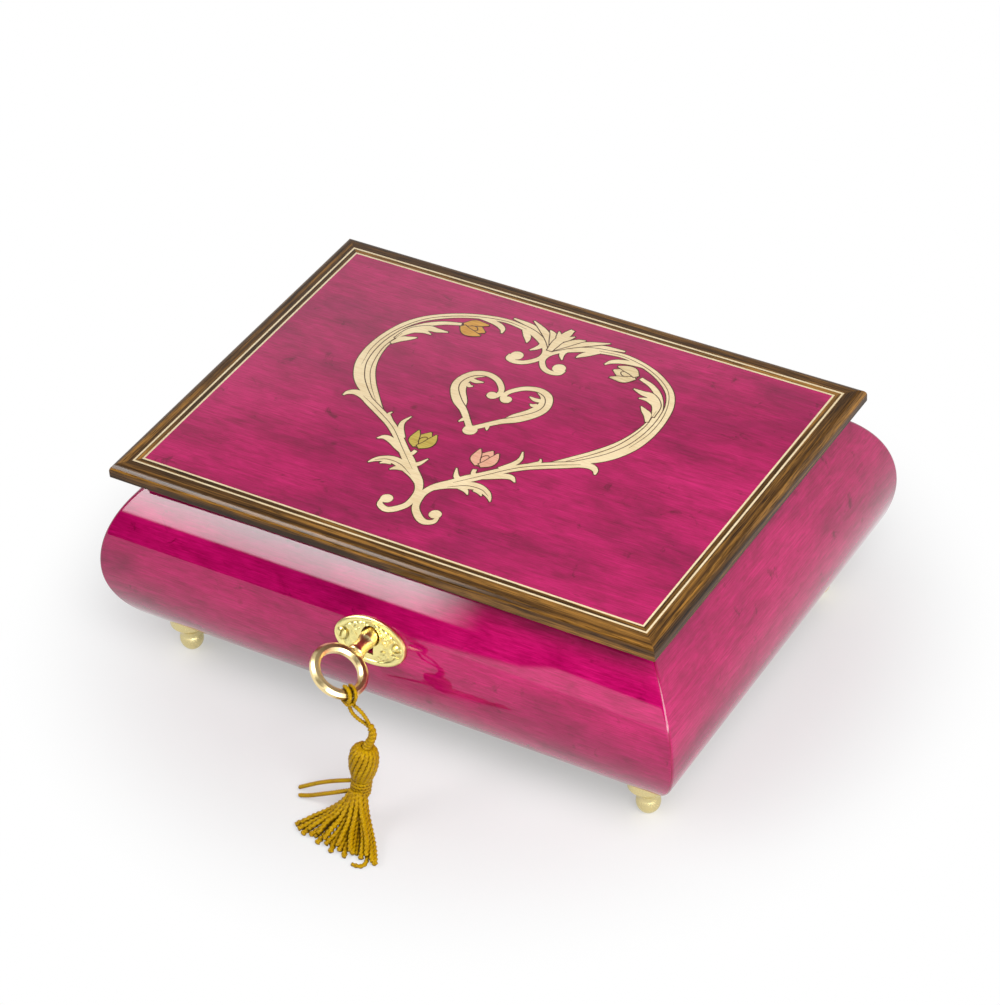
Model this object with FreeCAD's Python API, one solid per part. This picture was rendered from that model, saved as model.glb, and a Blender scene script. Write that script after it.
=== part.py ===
import FreeCAD, Part
import math
import os

# Bombe musical jewellery box. Millimetres, +Z up, front towards -Y.
# The origin is on the floor under the middle of the case.

V = FreeCAD.Vector

# Case
case_length = 165.0         # over the belly, along X
case_depth = 124.0          # over the belly, along Y
foot_height = 11.8          # floor to the underside of the base
base_thickness = 3.0
belly_height = 32.0         # height of the widest line
rim_height = 60.7
rim_thickness = 7.0         # wall at the straight neck
neck_setback = 10.9         # belly out from the neck
neck_height = 5.1           # straight neck under the rim
lower_radius = 26.0         # curve from the belly down
lower_arc_angle = 44.0      # the lower curve ends here and runs on straight
foot_inset = 14.8           # foot centre in from the belly
foot_flange_radius = 5.2
foot_ball_radius = 3.1
foot_neck_radius = 2.75
foot_pad_radius = 1.6
foot_flange_thickness = 3.2
foot_stud_radius = 1.2
foot_waist_height = 4.8
foot_flare_hollow = 0.4     # how far the flare is hollowed

# Lid
lid_thickness = 4.2
lid_gap = 0.1               # lacquer gap between rim and lid
lid_overhang = 5.75         # moulding beyond the neck
lid_forward = 2.9           # lid set towards the front, to clear the hinges
moulding_width = 6.6
string_width = 0.52
string_pitch = 1.75
string_depth = 0.8
nose_radius = 2.0           # upper edge of the moulding
under_radius = 0.7          # lower edge of the moulding
lid_pad_thickness = 2.5
lid_pad_margin = 2.2

# Hinges
hinge_spread = 45.0         # each hinge from the middle
hinge_length = 22.0
leaf_thickness = 0.7
leaf_width = 6.0
leaf_gap = 0.3
knuckle_radius = 1.2
knuckle_gap = 0.15
pin_radius = 0.6
pin_clearance = 0.04
hinge_clearance = 0.2
hinge_screw_radius = 0.6
hinge_screw_length = 4.5
screw_head_radius = 1.2

# Lock and key
lock_offset = -1.0          # keyhole from the middle, along X
lock_rise = 8.0             # keyhole above the belly
escutcheon_drop = 1.6       # plate below the keyhole
escutcheon_length = 20.5
escutcheon_width = 12.5
escutcheon_thickness = 0.8
escutcheon_rim = 0.45       # raised border
escutcheon_rim_width = 0.9
escutcheon_screw_spread = 8.2
escutcheon_screw_radius = 0.7
escutcheon_head_radius = 1.35
screw_slot_width = 0.4
screw_slot_depth = 0.25
keyhole_radius = 2.5
keyhole_slot = 1.9
keyhole_drop = 5.0
lock_depth = 5.0
lock_plate = 0.8
lock_left = 10.0            # lock case from the key's axis
lock_below = 10.0
lock_recess = 1.2           # lock face below the rim
lock_side_gap = 1.8         # lock case beyond the hook
lock_clearance = 0.15
hub_wall = 0.75             # beyond the bit
hub_boss_radius = 4.0
hub_thickness = 2.9
run_clearance = 0.06
hook_thickness = 1.2
hook_width = 2.3
hook_top_gap = 4.3          # hook below the lock's face
hook_tip_angle = 77.0       # from +X, seen from the front
hook_arm_angle = 30.0
hook_arm_sweep = 9.0
strike_length = 15.0
strike_thickness = 0.8
staple_width = 4.0
staple_leg = 0.6
staple_gap = 1.8
staple_bar = 1.1
key_rest_angle = 57.0       # turned from upright, seen from the front
key_shank_radius = 2.25
key_collar_radius = 2.5
key_barrel_radius = 1.6
key_bore_radius = 0.85
key_bit_length = 4.4
key_bit_width = 1.9
key_bit_thickness = 1.2
drill_pin_radius = 0.75
bow_reach = 14.2            # bow centre out from the belly
bow_radius = 6.4
bow_section = 2.5           # across the flats of its bevelled section
knot_angle = 31.6           # where the cord is tied, round the bow

# Tassel. The places are chosen from the photograph, from the knot's centre.
cord_radius = 0.8
loop_cord_radius = 0.5
knot_clearance = 0.05
cord_points = [
    V(0.2, -0.1, -3.2),
    V(1.6, -0.2, -4.6),
    V(4.2, -0.3, -6.0),
    V(6.2, -0.4, -8.2),
    V(5.9, -0.4, -11.2),
    V(4.2, -0.5, -13.6),
]
tassel_head_length = 10.6
tassel_head_radius = 3.7
tassel_neck = V(2.5, -1.9, -27.6)
tassel_neck_radius = 2.7
tassel_neck_length = 2.7
binding_thickness = 0.2
skirt_middle = V(3.2, -9.5, -33.4)
skirt_end = V(3.6, -16.2, -35.2)
skirt_middle_size = (7.6, 2.9)
skirt_end_size = (13.0, 1.25)
tie_ends = [V(-16.4, -1.6, -36.1), V(-15.0, -4.0, -36.2)]
tie_radius = 0.55
seat_clearance = 0.3

# Linings
lining_thickness = 1.0
floor_lining_thickness = 1.5
lining_drop = 4.0           # wall lining below the rim
partition_thickness = 3.0
partition_drop = 9.0
lining_clearance = 0.1
roll_count = 4
roll_width = 9.0
roll_height = 13.0
roll_gap = 0.5
roll_end_margin = 2.0

# Movement
pressure_angle = 20.0
addendum = 0.9              # tooth height over the pitch line, in modules
dedendum = 1.15             # tooth depth under it, in modules
movement_inset = 26.1       # cylinder's axis from the left wall
movement_shift = 0.0        # contrate mesh from the middle, along Y
partition_offset = 22.0     # partition from the cylinder's axis
bedplate_thickness = 2.0
bedplate_left = 23.5
bedplate_right = 20.0
bedplate_corner = 4.0
contrate_module = 0.6
contrate_teeth = 40
pinion_teeth = 10
contrate_face = 2.0
pinion_width = 2.4
barrel_height = 10.2
barrel_wall = 1.2
barrel_lift = 0.5
barrel_cover_thickness = 0.8
gear_backlash = 0.22
arbor_radius = 2.5
arbor_hole_radius = 4.0
bridge_width = 8.0
bridge_thickness = 1.6
bridge_leg = 2.2
bridge_clearance = 0.9
mainspring_turns = 8
mainspring_thickness = 0.45
cylinder_radius = 6.5
cylinder_wall = 0.8
cylinder_arbor_radius = 1.1
post_thickness = 2.0
post_gap = 0.6
note_count = 18
note_pitch = 0.9
pins_per_note = 5
pin_height = 0.7
pin_size = 0.22
tune_note_turn = 137.5      # the tune: turn between notes, and between one note's pins
tune_pin_turn = 61.0
tune_pin_change = 7.0
cylinder_gear_teeth = 44
governor_pinion_teeth = 10
train_module = 0.5
train_width = 1.5
governor_arbor_radius = 0.7
worm_wheel_teeth = 16
worm_module = 0.6
worm_radius = 1.6
worm_turns = 3.2
worm_core_radius = 1.05
worm_wheel_width = 1.3
worm_wheel_backlash = 0.35
worm_tip_width = 0.26
worm_tip_height = 0.48      # thread over its pitch radius
worm_wheel_offset = 5.75    # from the cylinder gear, along Y
fan_shaft_radius = 0.6
fan_radius = 3.6
fan_height = 5.5
fan_thickness = 0.5
fan_lift = 1.6
frame_thickness = 2.0
frame_height = 22.5
frame_arm = 1.5
frame_eye_radius = 3.75     # round the cylinder's arbor
frame_arm_margin = 1.7      # arm beyond the stop rod
post_half_width = 3.6
governor_post_half_width = 3.1
comb_thickness = 1.0
comb_clearance = 0.35       # tooth tips off the pins
comb_tooth_length = 7.0
comb_tooth_step = 0.14      # treble teeth get shorter
comb_tooth_slot = 0.25
comb_root = 5.0
comb_margin = 1.0
comb_screw_radius = 0.8
comb_head_radius = 1.5
movement_screw_radius = 1.2
movement_head_radius = 2.4
stop_rod_radius = 0.7
stop_cap_radius = 1.5
stop_clearance = 0.3
cover_height = 30.0         # clear cover above the base
cover_thickness = 2.0
cover_clearance = 0.3
batten_size = 3.0
winding_hub_radius = 4.0
winding_hub_height = 5.4
winding_key_floor = 1.7
winding_wing_reach = 12.0
winding_wing_thickness = 2.2

# Places that follow from the sizes
half_length = case_length / 2
half_depth = case_depth / 2
neck_start = rim_height - neck_height
shoulder_rise = neck_start - belly_height
shoulder_radius = (shoulder_rise ** 2 + neck_setback ** 2) / (2 * neck_setback)
neck_x = half_length - neck_setback
neck_y = half_depth - neck_setback
inner_x = neck_x - rim_thickness
inner_y = neck_y - rim_thickness
base_top = foot_height + base_thickness
lid_bottom = rim_height + lid_gap
lid_top = lid_bottom + lid_thickness
panel_x = neck_x + lid_overhang - moulding_width
panel_y = neck_y + lid_overhang - moulding_width
belly_axis_y = -(half_depth - shoulder_radius)
hinge_y = neck_y + knuckle_radius + hinge_clearance
lid_leaf_z = lid_bottom - leaf_thickness
case_leaf_z = lid_leaf_z - leaf_gap - leaf_thickness
hinge_z = case_leaf_z + leaf_gap
lock_height = belly_height + lock_rise
escutcheon_height = lock_height - escutcheon_drop
lock_axis = V(lock_offset, 0, lock_height)
hub_radius = key_bit_length + lock_clearance + hub_wall
hook_outer_radius = rim_height - lock_recess - lock_height - hook_top_gap
hook_inner_radius = hook_outer_radius - hook_width
lock_right = hook_outer_radius + lock_side_gap
movement_x = -inner_x + movement_inset
partition_x = movement_x + partition_offset
bed_top = base_top + bedplate_thickness
contrate_radius = contrate_module * contrate_teeth / 2
pinion_radius = contrate_module * pinion_teeth / 2
barrel_radius = contrate_radius + contrate_face / 2
barrel_y = movement_shift + contrate_radius
barrel_z = bed_top + barrel_lift
barrel_top = barrel_z + barrel_height
tooth_root = dedendum * contrate_module
tooth_tip = addendum * contrate_module
cylinder_z = barrel_top + tooth_root + pinion_radius
post_y = movement_shift - contrate_face / 2 - 2 * post_gap - post_thickness / 2
cylinder_end = post_y - post_thickness / 2 - post_gap
cylinder_length = note_count * note_pitch + 2 * comb_margin
gear_y = cylinder_end - cylinder_length - post_gap - train_width / 2
frame_y = gear_y - train_width / 2 - post_gap - frame_thickness
governor_x = movement_x - train_module * (cylinder_gear_teeth + governor_pinion_teeth) / 2
wheel_y = gear_y + worm_wheel_offset
worm_wheel_radius = worm_module * worm_wheel_teeth / 2
worm_x = governor_x - worm_wheel_radius - worm_radius
worm_pitch = math.pi * worm_module
governor_post_y = wheel_y + worm_wheel_width / 2 + 2 * post_gap
frame_top = bed_top + frame_height
stop_y = wheel_y - fan_radius - stop_rod_radius - stop_clearance
comb_tip_x = movement_x + cylinder_radius + pin_height + comb_clearance
comb_back_x = comb_tip_x + comb_tooth_length + comb_root
cover_z = base_top + cover_height
lid_pad_z = lid_bottom - lid_pad_thickness
bow_center = V(lock_offset, -(half_depth + bow_reach), lock_height)
bow_across = V(math.sin(math.radians(key_rest_angle)), 0, -math.cos(math.radians(key_rest_angle)))
knot_turn = math.radians(knot_angle)
knot_center = bow_center + (bow_across * math.cos(knot_turn) + V(0, -math.sin(knot_turn), 0)) * bow_radius
knot_tangent = V(0, math.cos(knot_turn), 0) + bow_across * math.sin(knot_turn)

REACH = 400.0               # longer than the whole object, for cutting tools
OVER = 1.0                  # how far a cutter runs past a face

nodes = {}


# General shapes

def block(x0, x1, y0, y1, z0, z1):
    return Part.makeBox(x1 - x0, y1 - y0, z1 - z0, V(x0, y0, z0))


def rod(start, end, radius):
    return Part.makeCylinder(radius, (end - start).Length, start, end - start)


def line(a, b):
    return Part.LineSegment(a, b).toShape()


def arc(a, middle, b):
    return Part.Arc(a, middle, b).toShape()


def polygon_face(points):
    return Part.Face(Part.makePolygon(points + [points[0]]))


def turned(points):
    """A solid turned about Z from (radius, height) points."""
    return polygon_face([V(r, 0, z) for r, z in points]).revolve(V(0, 0, 0), V(0, 0, 1), 360)


def in_plane_of_y(shape, x, y, z):
    """Stand a shape drawn flat in X and Y upright, its own Z turned towards -Y."""
    shape = shape.copy()
    shape.Placement = FreeCAD.Placement(V(x, y, z), FreeCAD.Rotation(V(1, 0, 0), 90))
    return shape


def sector(axis, r0, r1, a0, a1, y0, y1):
    """Part of a flat ring about a Y axis, angles from +X towards +Z in degrees."""
    def at(radius, angle):
        turn = math.radians(angle)
        return V(axis.x + radius * math.cos(turn), y0, axis.z + radius * math.sin(turn))
    middle = (a0 + a1) / 2
    edges = [
        arc(at(r1, a0), at(r1, middle), at(r1, a1)),
        line(at(r1, a1), at(r0, a1)),
        arc(at(r0, a1), at(r0, middle), at(r0, a0)),
        line(at(r0, a0), at(r1, a0)),
    ]
    return Part.Face(Part.Wire(edges)).extrude(V(0, y1 - y0, 0))


def involute(angle):
    return math.tan(angle) - angle


def gear(module, teeth, width, backlash, phase):
    """Spur gear along Z from 0 to width. phase turns a tooth away from +X, in degrees."""
    pressure = math.radians(pressure_angle)
    pitch_radius = module * teeth / 2
    base_radius = pitch_radius * math.cos(pressure)
    root = pitch_radius - dedendum * module
    tip = pitch_radius + addendum * module
    half_pitch = math.pi / (2 * teeth) - backlash / (4 * pitch_radius)

    def half_angle(radius):
        slope = math.acos(min(1.0, base_radius / radius))
        return half_pitch + involute(pressure) - involute(slope)

    radii = [root, max(base_radius, root + 0.05 * module), pitch_radius, tip]
    points = []
    for tooth in range(teeth):
        middle = math.radians(phase) + 2 * math.pi * tooth / teeth
        flank = [(radius, half_angle(max(radius, base_radius))) for radius in radii]
        for radius, spread in flank:
            points.append(V(radius * math.cos(middle - spread), radius * math.sin(middle - spread), 0))
        for radius, spread in reversed(flank):
            points.append(V(radius * math.cos(middle + spread), radius * math.sin(middle + spread), 0))
    return polygon_face(points).extrude(V(0, 0, width))


def countersunk(top, direction, length, shank_radius, head_radius):
    """A flat-headed screw: its head flush at top, its shank along direction."""
    head = Part.makeCone(head_radius, shank_radius, head_radius - shank_radius, top, direction)
    return head.fuse(rod(top, top + direction * length, shank_radius)).removeSplitter()


def mitred(half_x, half_y, shift_y, z0, z1):
    """Four prisms that share out a rectangle along its mitre lines."""
    ridge = half_x - half_y
    corners = {
        "front": [(-half_x, -half_y), (half_x, -half_y), (ridge, 0), (-ridge, 0)],
        "rear": [(half_x, half_y), (-half_x, half_y), (-ridge, 0), (ridge, 0)],
        "left": [(-half_x, half_y), (-half_x, -half_y), (-ridge, 0)],
        "right": [(half_x, -half_y), (half_x, half_y), (ridge, 0)],
    }
    prisms = {}
    for side, outline in corners.items():
        face = polygon_face([V(x, y + shift_y, z0) for x, y in outline])
        prisms[side] = face.extrude(V(0, 0, z1 - z0))
    return prisms


# Case: the bombe envelope is where a lengthwise and a crosswise section meet

def bombe_section(half, along):
    """One upright section of the case, foot line to rim, with its two bulging sides."""
    def at(sign, out, z):
        return V(*[sign * out * axis for axis in along]) + V(0, 0, z)

    sweep = math.radians(lower_arc_angle)
    rise = math.atan2(shoulder_rise, shoulder_radius - neck_setback)

    def lower(turn):
        return half - lower_radius * (1 - math.cos(turn)), belly_height - lower_radius * math.sin(turn)

    def shoulder(turn):
        return half - shoulder_radius * (1 - math.cos(turn)), belly_height + shoulder_radius * math.sin(turn)

    low_out, low_z = lower(sweep)
    foot_out = low_out - (low_z - foot_height) * math.tan(sweep)
    edges = [line(at(-1, foot_out, foot_height), at(1, foot_out, foot_height))]
    for sign in (1, -1):
        side = [
            line(at(sign, foot_out, foot_height), at(sign, low_out, low_z)),
            arc(at(sign, low_out, low_z), at(sign, *lower(sweep / 2)), at(sign, half, belly_height)),
            arc(at(sign, half, belly_height), at(sign, *shoulder(rise / 2)), at(sign, *shoulder(rise))),
            line(at(sign, *shoulder(rise)), at(sign, half - neck_setback, rim_height)),
        ]
        edges += side
    neck = half - neck_setback
    edges.append(line(at(1, neck, rim_height), at(-1, neck, rim_height)))
    return Part.Face(Part.Wire(Part.__sortEdges__(edges)))


def make_case():
    lengthwise = bombe_section(half_length, (1, 0, 0))
    crosswise = bombe_section(half_depth, (0, 1, 0))
    lengthwise.translate(V(0, -REACH / 2, 0))
    crosswise.translate(V(-REACH / 2, 0, 0))
    envelope = lengthwise.extrude(V(0, REACH, 0)).common(crosswise.extrude(V(REACH, 0, 0)))

    base = envelope.common(block(-REACH, REACH, -REACH, REACH, 0, base_top))
    cavity = block(-inner_x, inner_x, -inner_y, inner_y, base_top, rim_height + OVER)
    ring = envelope.cut([block(-REACH, REACH, -REACH, REACH, 0, base_top), cavity])
    walls = {}
    for side, prism in mitred(half_length + OVER, half_depth + OVER, 0, 0, rim_height + OVER).items():
        walls[side] = ring.common(prism)
    return base, walls


def make_foot(x, y):
    """Turned brass foot: ball on a waist under a flared flange, with its stud."""
    flare_z = foot_height - foot_flange_thickness
    hollow_x = (foot_neck_radius + foot_flange_radius) / 2 - foot_flare_hollow
    hollow_z = (foot_waist_height + flare_z) / 2 + foot_flare_hollow
    waist = V(foot_neck_radius, 0, foot_waist_height)
    outline = [
        line(V(0, 0, 0), V(foot_pad_radius, 0, 0)),
        arc(V(foot_pad_radius, 0, 0), V(foot_ball_radius, 0, foot_waist_height / 2), waist),
        arc(waist, V(hollow_x, 0, hollow_z), V(foot_flange_radius, 0, flare_z)),
        line(V(foot_flange_radius, 0, flare_z), V(foot_flange_radius, 0, foot_height)),
        line(V(foot_flange_radius, 0, foot_height), V(0, 0, foot_height)),
        line(V(0, 0, foot_height), V(0, 0, 0)),
    ]
    foot = Part.Face(Part.Wire(outline)).revolve(V(0, 0, 0), V(0, 0, 1), 360)
    stud = rod(V(0, 0, foot_height - OVER), V(0, 0, base_top), foot_stud_radius)
    foot = foot.fuse(stud).removeSplitter()
    foot.translate(V(x, y, 0))
    return foot


# Lid

def make_lid():
    nodes["lid_panel"] = block(
        -panel_x, panel_x, -panel_y - lid_forward, panel_y - lid_forward, lid_bottom, lid_top
    )
    groove = lid_top - string_depth
    nose_start = moulding_width - nose_radius
    nose_end = lid_top - nose_radius
    nose_bend = nose_radius * (1 - math.sqrt(0.5))
    under_start = lid_bottom + under_radius
    under_end = moulding_width - under_radius
    under_bend = under_radius * (1 - math.sqrt(0.5))
    outer_string = string_pitch + string_width

    def section(place):
        """Moulding profile with two string grooves and an edge rounded above and below."""
        return [
            line(place(0, lid_bottom), place(0, groove)),
            line(place(0, groove), place(string_width, groove)),
            line(place(string_width, groove), place(string_width, lid_top)),
            line(place(string_width, lid_top), place(string_pitch, lid_top)),
            line(place(string_pitch, lid_top), place(string_pitch, groove)),
            line(place(string_pitch, groove), place(outer_string, groove)),
            line(place(outer_string, groove), place(outer_string, lid_top)),
            line(place(outer_string, lid_top), place(nose_start, lid_top)),
            arc(
                place(nose_start, lid_top),
                place(moulding_width - nose_bend, lid_top - nose_bend),
                place(moulding_width, nose_end),
            ),
            line(place(moulding_width, nose_end), place(moulding_width, under_start)),
            arc(
                place(moulding_width, under_start),
                place(moulding_width - under_bend, lid_bottom + under_bend),
                place(under_end, lid_bottom),
            ),
            line(place(under_end, lid_bottom), place(0, lid_bottom)),
        ]

    places = {
        "front": lambda s, z: V(-REACH / 2, -panel_y - lid_forward - s, z),
        "rear": lambda s, z: V(-REACH / 2, panel_y - lid_forward + s, z),
        "left": lambda s, z: V(-panel_x - s, -REACH / 2, z),
        "right": lambda s, z: V(panel_x + s, -REACH / 2, z),
    }
    runs = {"front": V(REACH, 0, 0), "rear": V(REACH, 0, 0), "left": V(0, REACH, 0), "right": V(0, REACH, 0)}
    reach = moulding_width + OVER
    prisms = mitred(panel_x + reach, panel_y + reach, -lid_forward, 0, lid_top + OVER)
    for side, prism in prisms.items():
        bar = Part.Face(Part.Wire(section(places[side]))).extrude(runs[side])
        nodes["lid_moulding_" + side] = bar.common(prism)

    strings = []
    for inner in (0, string_pitch):
        outer = inner + string_width
        frame = block(
            -panel_x - outer, panel_x + outer,
            -panel_y - outer - lid_forward, panel_y + outer - lid_forward, groove, lid_top
        )
        hole = block(
            -panel_x - inner, panel_x + inner,
            -panel_y - inner - lid_forward, panel_y + inner - lid_forward, groove - OVER, lid_top + OVER
        )
        strings.append(frame.cut(hole))
    nodes["lid_stringing"] = Part.makeCompound(strings)

    pad_x = inner_x - lid_pad_margin
    pad_y = inner_y - lid_pad_margin
    pad = block(-pad_x, pad_x, -pad_y, pad_y, lid_pad_z, lid_bottom)
    edges = [edge for edge in pad.Edges if abs(edge.BoundBox.ZMax - lid_pad_z) < 1e-6]
    nodes["lid_pad"] = pad.makeFillet(lid_pad_thickness / 2, edges)


# Hinges

def make_hinges():
    """Two stop hinges; returns the cutters for the rear wall and for the lid board."""
    case_leaves, lid_leaves, pins, case_screws, lid_screws, mortises = [], [], [], [], [], []
    leaf_front = neck_y - leaf_width
    segment = hinge_length / 3
    plate_back = hinge_y - knuckle_radius - hinge_clearance
    for center in (-hinge_spread, hinge_spread):
        left = center - hinge_length / 2
        right = center + hinge_length / 2
        bore = rod(
            V(left - OVER, hinge_y, hinge_z), V(right + OVER, hinge_y, hinge_z), pin_radius + pin_clearance
        )

        def leaf(spans, z):
            body = block(left, right, leaf_front, plate_back, z, z + leaf_thickness)
            for x0, x1 in spans:
                tongue = block(x0, x1, plate_back - OVER, hinge_y, z, z + leaf_thickness)
                knuckle = rod(V(x0, hinge_y, hinge_z), V(x1, hinge_y, hinge_z), knuckle_radius)
                body = body.fuse([tongue, knuckle])
            return body.cut(bore).removeSplitter()

        case_leaf = leaf(
            [(left, left + segment - knuckle_gap), (right - segment + knuckle_gap, right)], case_leaf_z
        )
        lid_leaf = leaf([(left + segment, right - segment)], lid_leaf_z)
        for x in (center - hinge_length / 4, center + hinge_length / 4):
            y = (leaf_front + plate_back) / 2
            case_screw = countersunk(
                V(x, y, case_leaf_z + leaf_thickness), V(0, 0, -1),
                hinge_screw_length, hinge_screw_radius, screw_head_radius
            )
            lid_screw = countersunk(
                V(x, y, lid_leaf_z), V(0, 0, 1),
                leaf_thickness + lid_thickness / 2, hinge_screw_radius, screw_head_radius
            )
            case_leaf = case_leaf.cut(case_screw)
            lid_leaf = lid_leaf.cut(lid_screw)
            case_screws.append(case_screw)
            lid_screws.append(lid_screw)
        case_leaves.append(case_leaf)
        lid_leaves.append(lid_leaf)
        pins.append(rod(V(left, hinge_y, hinge_z), V(right, hinge_y, hinge_z), pin_radius))
        mortises.append(block(left, right, leaf_front, neck_y + OVER, case_leaf_z, rim_height + OVER))
    nodes["hinge_case_leaves"] = Part.makeCompound(case_leaves)
    nodes["hinge_lid_leaves"] = Part.makeCompound(lid_leaves)
    nodes["hinge_pins"] = Part.makeCompound(pins)
    nodes["hinge_case_screws"] = Part.makeCompound(case_screws)
    nodes["hinge_lid_screws"] = Part.makeCompound(lid_screws)
    return mortises + case_screws, lid_screws


# Lock, escutcheon and key

def keyhole(radius, slot, drop, y0, y1):
    """Round hole with a slot below it, cut along Y on the key's axis."""
    hole = rod(V(lock_offset, y0, lock_height), V(lock_offset, y1, lock_height), radius)
    return hole.fuse(block(
        lock_offset - slot / 2, lock_offset + slot / 2, y0, y1, lock_height - drop, lock_height
    ))


def make_escutcheon():
    """Oval plate bent to the shoulder's curve, with a raised border; returns its screws."""
    lean = math.asin((escutcheon_height - belly_height) / shoulder_radius)
    normal = V(0, -math.cos(lean), math.sin(lean))
    upward = V(0, math.sin(lean), math.cos(lean))
    turn = FreeCAD.Rotation(V(1, 0, 0), upward, normal, "XYZ")
    center = V(lock_offset, belly_axis_y, belly_height) + normal * shoulder_radius

    def oval(inset):
        curve = Part.Ellipse(V(0, 0, 0), escutcheon_length / 2 - inset, escutcheon_width / 2 - inset)
        face = Part.Face(Part.Wire(curve.toShape()))
        face.Placement = FreeCAD.Placement(center - normal * shoulder_radius / 2, turn)
        return face.extrude(normal * shoulder_radius)

    def shell(thickness):
        start = V(-REACH / 2, belly_axis_y, belly_height)
        end = V(REACH / 2, belly_axis_y, belly_height)
        return rod(start, end, shoulder_radius + thickness).cut(rod(start, end, shoulder_radius))

    plate = oval(0).common(shell(escutcheon_thickness))
    border = oval(0).cut(oval(escutcheon_rim_width)).common(shell(escutcheon_thickness + escutcheon_rim))
    hole = keyhole(keyhole_radius, keyhole_slot, keyhole_drop, -half_depth - OVER * 2, -inner_y)
    plate = plate.fuse(border).removeSplitter().cut(hole)
    screws = []
    for side in (-1, 1):
        seat = center + V(side * escutcheon_screw_spread, 0, 0) + normal * escutcheon_thickness
        shank = rod(
            seat - normal * hinge_screw_length, seat + normal * escutcheon_rim / 2, escutcheon_screw_radius
        )
        head = rod(seat, seat + normal * escutcheon_rim, escutcheon_head_radius)
        slot = block(
            -escutcheon_head_radius, escutcheon_head_radius,
            -screw_slot_width / 2, screw_slot_width / 2, 0, OVER
        )
        slot.Placement = FreeCAD.Placement(seat + normal * (escutcheon_rim - screw_slot_depth), turn)
        screws.append(head.fuse(shank).removeSplitter().cut(slot))
        plate = plate.cut([
            rod(seat - normal * 2 * OVER, seat, escutcheon_screw_radius),
            rod(seat, seat + normal * 2 * OVER, escutcheon_head_radius),
        ])
    nodes["escutcheon"] = plate
    nodes["escutcheon_screws"] = Part.makeCompound(screws)
    return screws


def make_lock():
    """Mortise lock let into the front wall; returns its pocket in the wood."""
    face_y = -inner_y
    back_y = face_y - lock_depth
    left = lock_offset - lock_left
    right = lock_offset + lock_right
    bottom = lock_height - lock_below
    top = rim_height - lock_recess
    case = block(left, right, back_y, face_y, bottom, top)
    case = case.cut(block(
        left + lock_plate, right - lock_plate, back_y - OVER, face_y - lock_plate,
        bottom + lock_plate, top - lock_plate
    ))
    boss_hole = rod(
        V(lock_offset, back_y, lock_height), V(lock_offset, face_y + OVER, lock_height),
        hub_boss_radius + run_clearance
    )
    staple_depth = staple_gap + 2 * staple_leg
    staple_y1 = face_y - lock_plate - 2 * lock_clearance
    staple_y0 = staple_y1 - staple_depth
    slot = block(
        lock_offset - staple_width / 2 - 2 * lock_clearance,
        lock_offset + staple_width / 2 + 2 * lock_clearance,
        back_y - OVER, face_y - lock_plate, top - lock_plate - OVER, top + OVER
    )
    nodes["lock_case"] = case.cut([boss_hole, slot])

    middle_y = (staple_y0 + staple_y1) / 2
    hook_y0 = middle_y - hook_thickness / 2
    hook_y1 = middle_y + hook_thickness / 2
    hub_y1 = face_y - lock_plate - lock_clearance
    hub_y0 = hub_y1 - hub_thickness
    hub = rod(V(lock_offset, hub_y0, lock_height), V(lock_offset, hub_y1, lock_height), hub_radius)
    boss = rod(
        V(lock_offset, hub_y1 - OVER, lock_height), V(lock_offset, face_y, lock_height), hub_boss_radius
    )
    finger = sector(
        lock_axis, hook_inner_radius, hook_outer_radius, hook_arm_angle, hook_tip_angle, hook_y0, hook_y1
    )
    arm = sector(
        lock_axis, hub_boss_radius, hook_outer_radius, hook_arm_angle - hook_arm_sweep,
        hook_arm_angle + hook_arm_sweep, hook_y0, hook_y1
    )
    seat_y = hub_y1 - lock_plate
    pocket = keyhole(
        key_barrel_radius + lock_clearance, key_bit_thickness + 2 * lock_clearance,
        key_bit_length + lock_clearance, hub_y0 - OVER, seat_y
    )
    pocket.rotate(lock_axis, V(0, -1, 0), key_rest_angle)
    pin = rod(
        V(lock_offset, hub_y0, lock_height), V(lock_offset, seat_y + lock_plate / 2, lock_height),
        drill_pin_radius
    )
    hook = hub.fuse([boss, finger, arm]).cut(pocket).fuse(pin)
    nodes["lock_hook"] = hook.removeSplitter()

    plate_y0 = staple_y0 - staple_leg
    plate_y1 = face_y - lock_clearance
    plate_z = lid_bottom - strike_thickness
    bar_top = lock_height + hook_inner_radius - 2 * lock_clearance
    plate = block(
        lock_offset - strike_length / 2, lock_offset + strike_length / 2,
        plate_y0, plate_y1, plate_z, lid_bottom
    )
    staple = block(
        lock_offset - staple_width / 2, lock_offset + staple_width / 2,
        staple_y0, staple_y1, bar_top - staple_bar, plate_z
    )
    gap = block(
        lock_offset - staple_width, lock_offset + staple_width,
        staple_y0 + staple_leg, staple_y1 - staple_leg, bar_top, plate_z
    )
    strike = plate.fuse(staple.cut(gap)).removeSplitter()
    screws = []
    for side in (-1, 1):
        x = lock_offset + side * (strike_length + staple_width) / 4
        screws.append(countersunk(
            V(x, (plate_y0 + plate_y1) / 2, plate_z), V(0, 0, 1),
            strike_thickness + lid_thickness / 2, hinge_screw_radius, screw_head_radius
        ))
    nodes["lock_strike"] = strike.cut(screws)
    nodes["strike_screws"] = Part.makeCompound(screws)

    pockets = [
        block(
            left - lock_clearance, right + lock_clearance, back_y - lock_clearance, face_y + OVER,
            bottom - lock_clearance, rim_height + OVER
        ),
        block(
            lock_offset - strike_length / 2 - 2 * lock_clearance,
            lock_offset + strike_length / 2 + 2 * lock_clearance,
            plate_y0 - 4 * lock_clearance, face_y + OVER, rim_height - lock_recess, rim_height + OVER
        ),
    ]
    return pockets, screws, hub_y0, seat_y


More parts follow.
